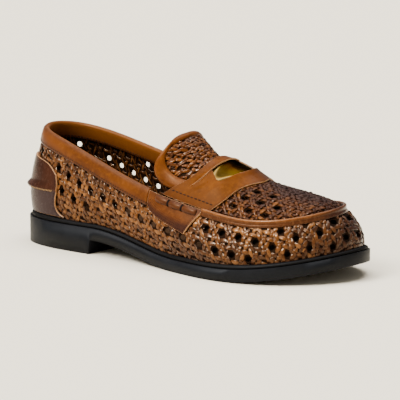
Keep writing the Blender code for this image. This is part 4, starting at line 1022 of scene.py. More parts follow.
@dataclass
class Workshop:
    """Makes pieces: turns meshes into objects that ride on the shoe and wear a finish."""

    last: Last
    made: dict[Finish, Material] = field(default_factory=dict)

    def __post_init__(self) -> None:
        """Start the burnish and the random draws."""
        self.patina = Patina(self.last)
        self.random = np.random.default_rng(SEED)

    def material(self, finish: Finish) -> Material:
        """Material of a finish, made once.

        Args:
            finish: Finish to wear.

        Returns:
            The material.
        """
        if finish not in self.made:
            self.made[finish] = finish.value.make()
        return self.made[finish]

    def add(self, name: str, mesh: Mesh, finishes: Sequence[Finish], slot: str,
            replaces: Sequence[str] = (), marks: Optional[dict[str, Array]] = None) -> Piece:
        """Put a mesh into the scene as a piece of the shoe.

        Args:
            name: Name of the piece.
            mesh: Its mesh, in metres in the shoe's frame.
            finishes: Finish of each material index.
            slot: The record's material slot; not used.
            replaces: Solids that the piece stands for.
            marks: Numbers per vertex for the finish: tint, burnish and painted recess shade.

        Returns:
            The new object.
        """
        points = np.empty(len(mesh.vertices) * 3)
        mesh.vertices.foreach_get("co", points)
        points = points.reshape(-1, 3) / MM + ORIGIN
        values = {"tint": np.full(len(points), 0.5), "burnish": self.patina.at(points),
                  "recess_shade": np.zeros(len(points))}
        values.update(marks or {})
        for key, numbers in values.items():
            layer = mesh.attributes.get(key) or mesh.attributes.new(key, "FLOAT", "POINT")
            shade = np.zeros(len(points), np.float32)
            layer.data.foreach_get("value", shade)
            layer.data.foreach_set("value", np.clip(numbers + shade, 0.0, 1.0).astype(np.float32))
        for finish in finishes:
            mesh.materials.append(self.material(finish))
        mesh.shade_smooth()
        item = bpy.data.objects.new(name, mesh)
        bpy.context.scene.collection.objects.link(item)
        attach(item, "root")
        if replaces:
            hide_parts(*replaces)
        mesh.calc_loop_triangles()
        LOG.info("%s: %d triangles", name, len(mesh.loop_triangles))
        return item

    def grid(self, columns: int, rows: int) -> tuple[BMesh, Array, Array]:
        """Flat grid with its shares along both sides, 0 to 1.

        Args:
            columns: Faces along the first side.
            rows: Faces along the second side.

        Returns:
            The grid and both shares of its vertices.
        """
        body = bmesh.new()
        bmesh.ops.create_grid(body, x_segments=columns, y_segments=rows, size=1.0)
        flat = np.array([vert.co[:2] for vert in body.verts])
        return body, 0.5 * (flat[:, 0] + 1.0), 0.5 * (flat[:, 1] + 1.0)

    def settle(self, body: BMesh, points: Array) -> None:
        """Move the vertices of a mesh to points given in millimetres."""
        for vert, point in zip(body.verts, (points - ORIGIN) * MM):
            vert.co = point

    def shade(self, body: BMesh, marks: dict[str, Array]) -> None:
        """Store shading numbers on the vertices, added later to the piece's own marks.

        Args:
            body: Mesh at work.
            marks: Shading numbers by name.
        """
        for key, numbers in marks.items():
            layer = body.verts.layers.float.new(key)
            for vert, number in zip(body.verts, numbers):
                vert[layer] = number

    def close(self, name: str, body: BMesh) -> Mesh:
        """Turn a bmesh into a finished mesh with faces outward.

        Args:
            name: Name of the mesh.
            body: Mesh at work.

        Returns:
            The mesh.
        """
        bmesh.ops.recalc_face_normals(body, faces=body.faces)
        mesh = bpy.data.meshes.new(name)
        body.to_mesh(mesh)
        body.free()
        return mesh

    def patch(self, name: str, columns: int, rows: int, inner: PlaceFn, outer: PlaceFn,
              cut: Optional[PlaceFn] = None, round_edge: float = 0.3,
              burn: Optional[PlaceFn] = None) -> Mesh:
        """Leather panel with a thickness, a rounded rim and its rim as material 1.

        Args:
            name: Name of the mesh.
            columns: Faces along the first share.
            rows: Faces along the second share.
            inner: Inner face as a function of the two shares.
            outer: Outer face as a function of the two shares.
            cut: Function that is positive at face centres to leave out.
            round_edge: Radius of the rim's edges.
            burn: Extra burnish as a function of the two shares.

        Returns:
            The mesh.
        """
        body, a, b = self.grid(columns, rows)
        if cut is not None:
            centres = np.array([face.calc_center_median()[:2] for face in body.faces])
            gone = cut(0.5 * (centres[:, 0] + 1.0), 0.5 * (centres[:, 1] + 1.0)) > 0.0
            doomed = [face for face, out in zip(body.faces, gone) if out]
        faces_outer = (outer(a, b) - ORIGIN) * MM
        layer = body.verts.layers.float_vector.new("outer")
        for vert, point in zip(body.verts, faces_outer):
            vert[layer] = point
        self.settle(body, inner(a, b))
        if burn is not None:
            self.shade(body, {"burnish": burn(a, b)})
        if cut is not None:
            bmesh.ops.delete(body, geom=doomed, context="FACES")
        bmesh.ops.remove_doubles(body, verts=body.verts, dist=0.02 * MM)
        bmesh.ops.dissolve_degenerate(body, edges=body.edges, dist=0.01 * MM)
        made = bmesh.ops.extrude_face_region(body, geom=body.faces[:])
        fresh = {item for item in made["geom"] if isinstance(item, bmesh.types.BMVert)}
        for vert in fresh:
            vert.co = vert[layer]
        rim = [face for face in body.faces if 0 < sum(v in fresh for v in face.verts) < len(face.verts)]
        for face in rim:
            face.material_index = 1
        rim_set = set(rim)
        corner = [edge for edge in body.edges
                  if len(edge.link_faces) == 2 and sum(f in rim_set for f in edge.link_faces) == 1]
        if round_edge > 0.0:
            bmesh.ops.bevel(body, geom=corner, offset=round_edge * MM, offset_type="OFFSET", segments=2,
                            profile=0.5, affect="EDGES", material=-1, clamp_overlap=True)
        return self.close(name, body)

    def tube(self, name: str, rings: Array, around: bool,
             marks: Optional[dict[str, Sequence[float]]] = None) -> Mesh:
        """Closed tube through rings.

        Args:
            name: Name of the mesh.
            rings: Points as rings by points round a ring by three.
            around: Whether the last ring joins the first.
            marks: Shading numbers of the points round a ring.

        Returns:
            The mesh.
        """
        count, points = rings.shape[:2]
        body, a, b = self.grid(count if around else count - 1, points)
        ring = np.rint(a * (count if around else count - 1)).astype(int) % count
        place = np.rint(b * points).astype(int) % points
        self.settle(body, rings[ring, place])
        self.shade(body, {key: np.array(numbers)[place] for key, numbers in (marks or {}).items()})
        bmesh.ops.remove_doubles(body, verts=body.verts, dist=0.001 * MM)
        if not around:
            rims = [edge for edge in body.edges if edge.is_boundary]
            bmesh.ops.holes_fill(body, edges=rims, sides=0)
        return self.close(name, body)

    def scatter(self, name: str, places: Array, along: Array, normals: Array, size: Color) -> Mesh:
        """Many small rounded stitches as one mesh.

        Args:
            name: Name of the mesh.
            places: Middle of each stitch.
            along: Direction of each stitch.
            normals: Outward direction at each stitch.
            size: Length, width and height of a stitch.

        Returns:
            The joined mesh.
        """
        shape = bmesh.new()
        bmesh.ops.create_uvsphere(shape, u_segments=6, v_segments=5, radius=0.5)
        bmesh.ops.rotate(shape, verts=shape.verts, cent=(0, 0, 0), matrix=AXIS_TURN)
        template = np.array([vert.co for vert in shape.verts])
        shape.verts.index_update()
        faces = [[vert.index for vert in face.verts] for face in shape.faces]
        shape.free()
        out = unit(normals)
        run = unit(along - out * np.sum(along * out, axis=1)[:, None])
        side = np.cross(out, run)
        length, width, height = size
        points = (places[:, None]
                  + run[:, None] * template[None, :, :1] * length
                  + side[:, None] * template[None, :, 1:2] * width
                  + out[:, None] * template[None, :, 2:] * height)
        count = len(template)
        all_faces = [[k * count + v for v in face] for k in range(len(places)) for face in faces]
        mesh = bpy.data.meshes.new(name)
        mesh.from_pydata(((points.reshape(-1, 3) - ORIGIN) * MM).tolist(), [], all_faces)
        return mesh

    def stitch_line(self, name: str, line: Array, out: Array, pitch: float, size: Color,
                    finish: Finish, slant: float = 0.0) -> None:
        """Stitches at an even pitch along a line.

        Args:
            name: Name of the piece.
            line: Points of the line.
            out: Outward direction at each point.
            pitch: Distance from stitch to stitch.
            size: Length, width and height of a stitch.
            finish: Thread finish.
            slant: Turn of each stitch about its outward direction, in degrees.
        """
        length = running(line)
        at = np.arange(0.5 * pitch, length[-1], pitch)
        normals = unit(pick(at, length, out))
        run = unit(pick(at + 0.4, length, line) - pick(at - 0.4, length, line))
        side = np.cross(normals, run)
        turn = math.radians(slant)
        along = run * math.cos(turn) + side * math.sin(turn)
        mesh = self.scatter(name, pick(at, length, line), along, normals, size)
        self.add(name, mesh, [finish], "trim_leather")


class Family(Enum):
    """Directions that the strands of a weave run in."""

    ALONG = "along"
    UPWARD = "upward"
    SLANT = "slant"


class StrandKey(NamedTuple):
    """One strand: its direction, the band that it belongs to and its place in the band."""

    family: Family
    band: int
    member: int


# Section of a strand as shares of its half width and heights, and the painted shade of each of its points,
# darkest at its edges and underside
STRAND_PROFILE = np.array((
    (-1.0, -0.04), (-0.90, 0.18), (-0.55, 0.31), (0.0, 0.36),
    (0.55, 0.31), (0.90, 0.18), (1.0, -0.04), (0.55, -0.26), (-0.55, -0.26),
))
STRAND_SHADE = np.array((0.85, 0.42, 0.06, 0.0, 0.06, 0.42, 0.85, 0.95, 0.95))


@dataclass
class Strands:
    """Flat strips of leather laid one after another and joined into one mesh."""

    place: StandFn
    base: float
    rise: float
    tilt: float
    random: np.random.Generator
    leaf: float = 0.31
    points: list[Array] = field(default_factory=list)
    tints: list[Array] = field(default_factory=list)
    # Painted shade of each point, darker on low strands and at strand edges
    folds: list[Array] = field(default_factory=list)
    faces: list[list[int]] = field(default_factory=list)
    start: int = 0

    def lay(self, at: Array, counts: Array, lift: Array, room: Array, half: float, shade: float) -> None:
        """Add one strand.

        Args:
            at: Running parameter of its points.
            counts: Weave counts of its points.
            lift: Height of its points above the middle of the sheet.
            room: Distance of its points from the edge of the sheet.
            half: Half of its width.
            shade: Its tint.
        """
        tuck = 1.0 - smooth_step((room + 0.9) / 1.8)
        lift = np.where(lift > 0.0, lift * (1.0 - tuck), lift) - 0.55 * tuck
        points, normals = self.place(counts, self.base + lift)
        if np.linalg.norm(np.diff(points, axis=0), axis=1).max() > LONGEST_STEP:
            return
        across = unit(np.cross(normals, unit(np.gradient(points, axis=0))))
        leaves = np.arange(at[0] - self.leaf * self.random.random(), at[-1] + self.leaf, self.leaf)
        roll = np.interp(at, leaves, self.random.normal(0.0, self.tilt, len(leaves)))[:, None]
        drift = np.interp(at, leaves, self.random.normal(0.0, 0.20, len(leaves)))
        across, normals = (across * np.cos(roll) + normals * np.sin(roll),
                           normals * np.cos(roll) - across * np.sin(roll))
        bulge = half * (0.80 + 0.24 * lift / self.rise)
        ring = (points[:, None]
                + across[:, None] * STRAND_PROFILE[None, :, :1] * bulge[:, None, None]
                + normals[:, None] * STRAND_PROFILE[None, :, 1:])
        count = len(STRAND_PROFILE)
        # Painted shade: strands lying under others, and each strand's edges and underside, are darkened.
        depth = np.clip(0.5 - lift / (2.2 * self.rise), 0.0, 1.0)
        self.faces += self.skin(self.start, len(at), count)
        self.start += len(at) * count
        self.points.append(ring.reshape(-1, 3))
        self.tints.append(np.repeat(np.clip(shade + drift, 0.0, 1.0), count))
        face = depth[:, None] * 0.62 + STRAND_SHADE[None] * 0.9
        face[:, -2:] = 0.25 + 0.60 * (1.0 - depth[:, None])
        self.folds.append(face.ravel())

    def marks(self) -> dict[str, Array]:
        """Shading numbers of all points."""
        return {"tint": np.concatenate(self.tints), "recess_shade": np.clip(np.concatenate(self.folds), 0.0, 1.0)}

    @staticmethod
    def skin(start: int, count: int, points: int) -> list[list[int]]:
        """Faces of one strand with its ends closed.

        Args:
            start: Number of its first point.
            count: Number of rings.
            points: Points round a ring.

        Returns:
            Corners of each face.
        """
        ring = np.arange(points)
        after = np.roll(ring, -1)
        low = start + points * np.arange(count - 1)[:, None]
        high = low + points
        sides = np.stack([low + ring, high + ring, high + after, low + after], axis=2).reshape(-1, 4)
        return sides.tolist() + [(start + ring).tolist(), (high[-1] + ring[::-1]).tolist()]


@dataclass
class Weave:
    """Sheet of strands woven in three directions round a lattice of openings.

    Whole counts (u, v) are the middles of the openings. Pairs of strands run between
    the openings along both counts, and further pairs run on the slant.
    """

    place: StandFn
    clear: Callable[[Array], Array]
    u_range: tuple[int, int]
    v_range: tuple[int, int]
    openings: Callable[[Array], Array]
    slant: Callable[[Array], Array]
    slant_sign: float
    slant_start: float
    half_widths: tuple[float, float, float]
    spread: float = 0.158
    slant_spread: float = 0.118
    rise: float = 0.50
    base: float = -0.28
    step: float = 0.09
    opening: float = 0.155
    fill_members: tuple[int, ...] = (0,)
    tilt: float = 0.20
    sway: float = 0.016
    stray: float = 0.012
    tint: float = 0.46
    tint_spread: float = 0.22
    run_under: float = 2.6
    fill_reach: float = 0.36
    finish: Finish = Finish.WOVEN

    def paths(self, family: Family) -> list[tuple[StrandKey, Array, Array]]:
        """Strands of a direction as key, running parameter and counts.

        Args:
            family: Direction of the strands.

        Returns:
            Key, running parameter and counts of each strand.
        """
        us = np.arange(self.u_range[0] - 0.5, self.u_range[1] + 0.5, self.step)
        vs = np.arange(self.v_range[0] - 0.5, self.v_range[1] + 0.5, self.step)
        ends = self.v_range if family is Family.ALONG else self.u_range
        more = int(np.ptp(self.slant(vs))) + 2 if family is Family.SLANT else 1
        found = []
        for band in range(ends[0] - more, ends[1] + more):
            for member in PAIR:
                key = StrandKey(family, band, member)
                middle = band + 0.5 + member * self.spread
                if family is Family.ALONG:
                    found.append((key, us, np.column_stack([us, np.full(len(us), middle)])))
                elif family is Family.UPWARD:
                    found.append((key, vs, np.column_stack([np.full(len(vs), middle), vs])))
                else:
                    u = band + self.slant_start + member * self.slant_spread + self.slant(vs)
                    found.append((key, vs, np.column_stack([u, vs])))
        return found

    def heights(self, key: StrandKey, at: Array) -> Array:
        """Height of a strand above the middle of the sheet, over or under each strand that it crosses.

        Args:
            key: The strand.
            at: Running parameter of its points.

        Returns:
            Heights in millimetres.
        """
        low, high = math.floor(at[0]) - 1, math.ceil(at[-1]) + 1
        fine = np.linspace(low, high, 40 * (high - low) + 1)
        side = key.member
        middle = key.band + 0.5 + side * self.spread
        offset = key.band + self.slant_start + side * self.slant_spread
        start = float(self.slant(np.array([middle]))[0]) + self.slant_start
        marks: list[tuple[float, float]] = []
        for other in PAIR:
            level = side * other if key.family is Family.ALONG else -side * other
            marks += [(n + 0.5 + other * self.spread, level) for n in range(low, high)]
            if key.family is Family.ALONG:
                marks += [(m - math.floor(start) + start + other * self.slant_spread, level)
                          for m in range(low, high)]
                continue
            if key.family is Family.UPWARD:
                miss = middle - self.slant_start - other * self.slant_spread - self.slant(fine)
                turn = self.slant_sign
            else:
                miss = offset + self.slant(fine) - 0.5 - other * self.spread
                turn = -self.slant_sign
            marks += [(hit, turn * side * other) for hit in self.whole_hits(fine, miss)]
        marks.sort()
        places = np.array([mark[0] for mark in marks])
        levels = np.array([mark[1] for mark in marks])
        index = np.clip(np.searchsorted(places, at) - 1, 0, len(places) - 2)
        part = (at - places[index]) / np.maximum(places[index + 1] - places[index], 1e-6)
        return self.rise * (levels[index] + (levels[index + 1] - levels[index]) * smooth_step(part))

    @staticmethod
    def whole_hits(at: Array, value: Array) -> list[float]:
        """Places where a value passes a whole number.

        Args:
            at: Running parameter.
            value: Value at each parameter.

        Returns:
            Places.
        """
        low = np.floor(value)
        found = []
        for k in np.nonzero(low[1:] != low[:-1])[0]:
            goal = max(low[k], low[k + 1])
            step = value[k + 1] - value[k]
            found.append(float(at[k] + (goal - value[k]) / step * (at[k + 1] - at[k])))
        return found

    def make(self, shop: Workshop, name: str, solid: str) -> None:
        """Make the ground sheet and the strands of every direction.

        Args:
            shop: The workshop.
            name: Start of the pieces' names.
            solid: Solid that the sheet stands for.
        """
        self.backing(shop, f"{name}_ground", solid)
        for family in Family:
            self.build(shop, family, f"{name}_{family.value}")

    def build(self, shop: Workshop, family: Family, name: str) -> None:
        """Make the strands of one direction as one piece.

        Args:
            shop: The workshop.
            family: Direction of the strands.
            name: Name of the piece.
        """
        half = self.half_widths[list(Family).index(family)]
        strands = Strands(self.place, self.base, self.rise, self.tilt, shop.random)
        for key, at, counts in self.paths(family):
            sway = self.sway * np.sin(at * 2.3 + shop.random.uniform(0.0, 6.28))
            sway += shop.random.normal(0.0, self.stray)
            across = np.array([0.0, 1.0] if family is Family.ALONG else [1.0, 0.0])
            moved = counts + across * sway[:, None]
            room = self.clear(moved)
            shade = float(np.clip(shop.random.normal(self.tint, self.tint_spread), 0.0, 1.0))
            for run in self.runs(room > -self.run_under):
                if len(run) >= 4:
                    strands.lay(at[run], moved[run], self.heights(key, at[run]), room[run], half, shade)
        if family is not Family.SLANT:
            self.fill(strands, family, 0.86 * half)
        mesh = bpy.data.meshes.new(name)
        mesh.from_pydata(((np.vstack(strands.points) - ORIGIN) * MM).tolist(), [], strands.faces)
        shop.add(name, mesh, [self.finish], "woven_leather", marks=strands.marks())

    def fill(self, strands: "Strands", family: Family, half: float) -> None:
        """Lay short strands across the places of the lattice that have no opening.

        Args:
            strands: Strands to add to.
            family: Direction of the short strands.
            half: Half width of a short strand.
        """
        across, up = np.meshgrid(np.arange(*self.u_range), np.arange(*self.v_range))
        cells = np.column_stack([across.ravel(), up.ravel()]).astype(float)
        cells = cells[~self.openings(cells) & (self.clear(cells) > -2.0)]
        at = np.linspace(-self.fill_reach, self.fill_reach, 9)
        for member in self.fill_members:
            run = np.column_stack([at, np.full(len(at), 0.115 * member)])
            sign = member or 1
            if family is Family.UPWARD:
                run, sign = run[:, ::-1], -sign
            height = self.rise * np.interp(at, (at[0], -0.25, -0.115, 0.115, 0.25, at[-1]),
                                           (-1.0, -0.3, sign, -sign if member else sign, -0.3, -1.0))
            room = self.clear((cells[:, None] + run[None]).reshape(-1, 2)).reshape(len(cells), len(at))
            for cell, space in zip(cells, room):
                if space.min() > -self.run_under:
                    strands.lay(at, cell + run, height, space, half, float(strands.random.uniform(0.2, 0.7)))

    def backing(self, shop: Workshop, name: str, solid: str) -> None:
        """Make the thin dark sheet that the strands lie round, with its openings; its near-black colour is
        painted shade in the gaps between strands.

        Args:
            shop: The workshop.
            name: Name of the piece.
            solid: Solid that the piece stands for.
        """
        wide = self.u_range[1] - self.u_range[0]
        tall = self.v_range[1] - self.v_range[0]

        def counts(a: Array, b: Array) -> Array:
            """Weave counts of the shares of the sheet."""
            return np.column_stack([self.u_range[0] - 0.5 + a * wide, self.v_range[0] - 0.5 + b * tall])

        def rounded(a: Array, b: Array) -> Array:
            """Counts drawn into rings round the openings.

            Args:
                a: Shares along the first side.
                b: Shares along the second side.

            Returns:
                Weave counts.
            """
            whole = np.rint(counts(a, b))
            away = counts(a, b) - whole
            square = np.abs(away).max(axis=1)
            ring = unit(away) * (square * self.opening / 0.25)[:, None]
            share = np.clip((0.5 - square) / 0.25, 0.0, 1.0)[:, None]
            return whole + away * (1.0 - share) + ring * share

        def cut(a: Array, b: Array) -> Array:
            """Positive in openings and beyond the sheet.

            Args:
                a: Shares along the first side.
                b: Shares along the second side.

            Returns:
                Numbers by place.
            """
            whole = np.rint(counts(a, b))
            gone = (np.abs(counts(a, b) - whole).max(axis=1) < 0.25) & self.openings(whole)
            corners = [rounded(a + x / (16.0 * wide), b + y / (16.0 * tall)) for x in PAIR for y in PAIR]
            spots = np.stack([self.place(corner, np.zeros(len(a)))[0] for corner in corners])
            for corner in corners:
                gone |= self.clear(corner) < -50.0
            gone |= np.linalg.norm(spots - spots[:1], axis=2).max(axis=0) > LONGEST_STEP
            return np.where(gone, 1.0, -1.0)

        def sheet(offset: float) -> PlaceFn:
            """Face of the sheet at an offset."""
            return lambda a, b: self.place(rounded(a, b), np.full(len(a), offset))[0]

        mesh = shop.patch(name, 8 * wide, 8 * tall, sheet(self.base - 0.22), sheet(self.base - 0.12), cut, 0.0)
        shop.add(name, mesh, [Finish.GROUND, Finish.GROUND], "woven_leather", [solid])

    @staticmethod
    def runs(inside: Array) -> list[Array]:
        """Stretches of indices that are inside.

        Args:
            inside: Whether each place is inside.

        Returns:
            Indices of each stretch.
        """
        index = np.nonzero(inside)[0]
        if not len(index):
            return []
        return np.split(index, np.nonzero(np.diff(index) > 1)[0] + 1)


@dataclass
class Panels:
    """Edges of the panels that lie on the wall, in flat wall coordinates."""

    last: Last
    collar_width: float = 10.3
    collar_end: float = 130.0
    apron_band: float = 3.8
    welt_height: float = 2.4

    def edge(self, points: Sequence[tuple[float, float]], side: Side) -> Array:
        """Edge points as flat wall places."""
        return np.array([(self.last.foot_place(x, side), up) for x, up in points])

    def counter_loop(self, side: Side) -> Array:
        """Half of the heel counter as a flat loop from the heel's middle.

        Args:
            side: Side of the foot.

        Returns:
            Corners of the loop.
        """
        middle = 0.0 if side is Side.OUTER else self.last.around
        front = self.edge(COUNTER_FRONT, side)
        top = self.edge(COUNTER_TOP[1:], side)
        ends = np.array([[middle, -9.0], [front[0, 0], -9.0]])
        return np.vstack([ends, front, top, [[middle, COUNTER_CROWN]]])

    def wing_loop(self, side: Side) -> Array:
        """Wing as a flat loop closed along the wall's edge.

        Args:
            side: Side of the foot.

        Returns:
            Corners of the loop.
        """
        low = np.vstack([self.edge(WING_LOW, side), self.edge(WING_FRONT[1:], side)])
        reach = np.linspace(low[-1, 0], low[0, 0], 9)
        s = self.last.foot_s(reach)
        return np.vstack([low, np.column_stack([reach, self.last.wall_height(s)])])

    @staticmethod
    def clearance(points: Array, loop: Array) -> Array:
        """Distance of points from a loop, negative inside it.

        Args:
            points: Flat points.
            loop: Corners of the loop.

        Returns:
            Distances.
        """
        best = np.full(len(points), 1e9)
        inside = np.zeros(len(points), bool)
        for a, b in zip(loop, np.roll(loop, -1, axis=0)):
            run = b - a
            part = np.clip(((points - a) @ run) / max(run @ run, 1e-12), 0.0, 1.0)
            best = np.minimum(best, np.linalg.norm(points - a - part[:, None] * run, axis=1))
            crosses = (a[1] > points[:, 1]) != (b[1] > points[:, 1])
            level = np.where(np.abs(run[1]) < 1e-12, 1e-12, run[1])
            inside ^= crosses & (points[:, 0] < a[0] + (points[:, 1] - a[1]) / level * run[0])
        return np.where(inside, -best, best)

    def clear(self, flat: Array) -> Array:
        """Distance of flat places from everything that lies on the wall.

        Args:
            flat: Flat places.

        Returns:
            Distances.
        """
        s = self.last.foot_s(flat[:, 0])
        x = self.last.section(s)[:, 4]
        band = np.where(x < self.collar_end + 2.0, self.collar_width, self.apron_band)
        free = np.minimum(flat[:, 1] - self.welt_height + 1.2, self.last.wall_height(s) - band - flat[:, 1])
        for side in Side:
            free = np.minimum(free, self.clearance(flat, self.counter_loop(side)))
            free = np.minimum(free, self.clearance(flat, self.wing_loop(side)))
        return free


@dataclass
class Assembly:
    """Sub-assembly made in the workshop, over the last and between the panels' edges."""

    shop: Workshop
    panels: Panels

    @property
    def last(self) -> Last:
        """Form of the shoe."""
        return self.shop.last


@dataclass
class Upper(Assembly):
    """Woven wall and woven apron."""

    plug_pitch_x: float = 12.2
    plug_pitch_y: float = 8.6
    plug_first_x: float = 195.2
    plug_skew: float = 0.34
    plug_back: float = 170.0
    lining_back: float = 176.0
    heel_tape: float = 6.5
    low_holes_x: float = 150.0
    low_holes_up: float = 12.0
    front_holes_up: float = 5.2
    hole_room_back: float = 3.3
    hole_room_front: float = 2.5
    plug_hole_room: float = 2.4
    plug_holes_end: float = 222.0

    def __post_init__(self) -> None:
        """Sort sample places of the wall by their weave counts."""
        along, up = np.meshgrid(np.arange(1.0, self.last.around, 2.0), np.arange(-2.0, 66.0, 2.0))
        seeds = np.column_stack([along.ravel(), up.ravel()])
        s = self.last.foot_s(seeds[:, 0])
        self.seeds = seeds[seeds[:, 1] < self.last.wall_height(s) + 2.0]
        counts = self.last.weave_counts(self.seeds)
        self.tree = KDTree(len(counts))
        for k, pair in enumerate(counts):
            self.tree.insert((pair[0], pair[1], 0.0), k)
        self.tree.balance()

    def unweave(self, counts: Array) -> Array:
        """Flat wall places of weave counts, far away where the wall does not reach.

        Args:
            counts: Weave counts.

        Returns:
            Flat places.
        """
        found = [self.tree.find((pair[0], pair[1], 0.0))[1] for pair in counts]
        flat = self.seeds[found].copy()
        step = 0.05
        for _ in range(6):
            here = self.last.weave_counts(flat)
            run = (self.last.weave_counts(flat + [step, 0.0]) - here) / step
            lift = (self.last.weave_counts(flat + [0.0, step]) - here) / step
            turn = np.stack([run, lift], axis=2)
            move = np.linalg.solve(turn, (counts - here)[:, :, None])[:, :, 0]
            flat = np.clip(flat + np.clip(move, -3.0, 3.0), [0.2, -9.0], [self.last.around - 0.2, 80.0])
        missed = np.linalg.norm(self.last.weave_counts(flat) - counts, axis=1) > 0.02
        flat[missed] = (-99.0, -99.0)
        return flat

    def wall_place(self, counts: Array, offset: Array) -> tuple[Array, Array]:
        """Points and normals of the woven wall.

        Args:
            counts: Weave counts.
            offset: Distance off the surface.

        Returns:
            Points and normals.
        """
        flat = self.unweave(counts)
        s, t = self.last.wall_at(flat)
        normal = self.last.wall_normal(s, t)
        return self.last.wall(s, t) + normal * offset[:, None], normal

    def wall_clear(self, counts: Array) -> Array:
        """Room of wall strands: strands run on under the panels to the wall's own edges.

        Args:
            counts: Weave counts.

        Returns:
            Distances.
        """
        flat = self.unweave(counts)
        s = self.last.foot_s(flat[:, 0])
        free = self.panels.clear(flat)
        inside = (flat[:, 1] > 0.4) & (flat[:, 1] < self.last.wall_height(s) - 1.2)
        inside &= (flat[:, 0] > 0.4) & (flat[:, 0] < self.last.around - 0.4)
        return np.where(inside, np.maximum(free, -2.5), -99.0)

    def wall_open(self, counts: Array) -> Array:
        """Which whole counts of the wall have an opening.

        Args:
            counts: Weave counts.

        Returns:
            Truth by count.
        """
        flat = self.unweave(counts)
        s = self.last.foot_s(flat[:, 0])
        back = self.last.section(s)[:, 0] < self.low_holes_x
        room = np.where(back, self.hole_room_back, self.hole_room_front)
        low = np.where(back, self.low_holes_up, self.front_holes_up)
        return (self.panels.clear(flat) > room) & (flat[:, 1] > low)

    def plug_flat(self, counts: Array) -> Array:
        """Plan places on the apron for weave counts.

        Args:
            counts: Weave counts.

        Returns:
            Plan places.
        """
        y = self.plug_pitch_y * (counts[:, 1] + 0.5)
        x = self.plug_first_x + self.plug_pitch_x * (counts[:, 0] + self.plug_skew * (counts[:, 1] + 3.0))
        tip = self.last.seam_edge[Side.OUTER][-1, 0]
        y0, _, y1, _ = self.last.apron_frame(np.clip(x, self.plug_back, tip))
        return np.column_stack([x, 0.5 * (y0 + y1) + y * (1.0 - 0.0035 * np.abs(y))])

    def plug_place(self, counts: Array, offset: Array) -> tuple[Array, Array]:
        """Points and normals of the woven apron.

        Args:
            counts: Weave counts.
            offset: Distance off the surface.

        Returns:
            Points and normals.
        """
        flat = self.plug_flat(counts)
        normal = self.last.apron_normal(flat)
        return self.last.apron_plan(flat) + normal * offset[:, None], normal

    def plug_clear(self, counts: Array) -> Array:
        """Room of apron strands from the seam cord and the saddle.

        Args:
            counts: Weave counts.

        Returns:
            Distances.
        """
        flat = self.plug_flat(counts)
        tip = self.last.seam_edge[Side.OUTER][-1, 0]
        x = np.clip(flat[:, 0], 100.0, tip)
        y0, _, y1, _ = self.last.apron_frame(x)
        seam = self.last.seam_edge
        edge = np.vstack([seam[Side.OUTER][::20, :2], seam[Side.INNER][::-20, :2]])
        rim = -self.panels.clearance(flat, edge)
        front = self.last.saddle_edges(self.last.apron_across(flat))[:, 1]
        outside = (flat[:, 0] > tip) | (flat[:, 0] < self.plug_back) | (flat[:, 1] < y0) | (flat[:, 1] > y1)
        return np.where(outside, -99.0, np.minimum(rim - 1.6, flat[:, 0] - front))

    def plug_open(self, counts: Array) -> Array:
        """Which whole counts of the apron have an opening."""
        back = self.plug_flat(counts)[:, 0] < self.plug_holes_end
        return (self.plug_clear(counts) > self.plug_hole_room) & (counts[:, 1] < -1.5) & back

    def lining(self) -> None:
        """Dark lining of the toe and the tape inside the heel seam."""
        last = self.last
        toe = (last.seam_place(self.lining_back, Side.OUTER), last.seam_place(self.lining_back, Side.INNER))
        heel = (-self.heel_tape / last.around, self.heel_tape / last.around)
        for name, ends, finish, columns, deep in (("toe_lining", toe, Finish.LINING, 90, -3.4),
                                                  ("heel_tape", heel, Finish.SOCK, 12, -2.1)):
            mesh = self.shop.patch(name, columns, 14, self.inside(ends, deep), self.inside(ends, deep + 0.5),
                                   round_edge=0.0)
            self.shop.add(name, mesh, [finish, finish], "woven_leather")

    def inside(self, ends: tuple[float, float], offset: float) -> PlaceFn:
        """Face of a lining between two places of the wall.

        Args:
            ends: Perimeter places of its ends.
            offset: Distance off the wall.

        Returns:
            Function of the shares along and up the wall.
        """
        last = self.last

        def place(a: Array, b: Array) -> tuple[Array, Array]:
            """Wall parameters of the shares."""
            s = np.mod(ends[0] + (ends[1] - ends[0]) * a, 1.0)
            return s, last.up_to_t(s, 4.5 + (last.wall_height(s) - 6.0) * b)

        return lambda a, b: stand(last.wall(*place(a, b)), last.wall_normal(*place(a, b)), offset)

    def build(self) -> None:
        """Make the strands of the wall and of the apron."""
        self.lining()
        wall = Weave(self.wall_place, self.wall_clear, (-5, 20), (-15, 6), self.wall_open,
                     lambda v: np.abs(v - WEAVE_AXIS_ROW), 1.0, 0.0, (1.50, 1.52, 1.24))
        wall.make(self.shop, "woven_wall", "upper")
        plug = Weave(self.plug_place, self.plug_clear, (-4, 8), (-6, 6), self.plug_open,
                     lambda v: -v, -1.0, 0.5, (1.12, 1.46, 1.14), rise=0.45, base=-0.35, spread=0.165,
                     fill_members=PAIR, finish=Finish.APRON)
        plug.make(self.shop, "woven_apron", "upper")


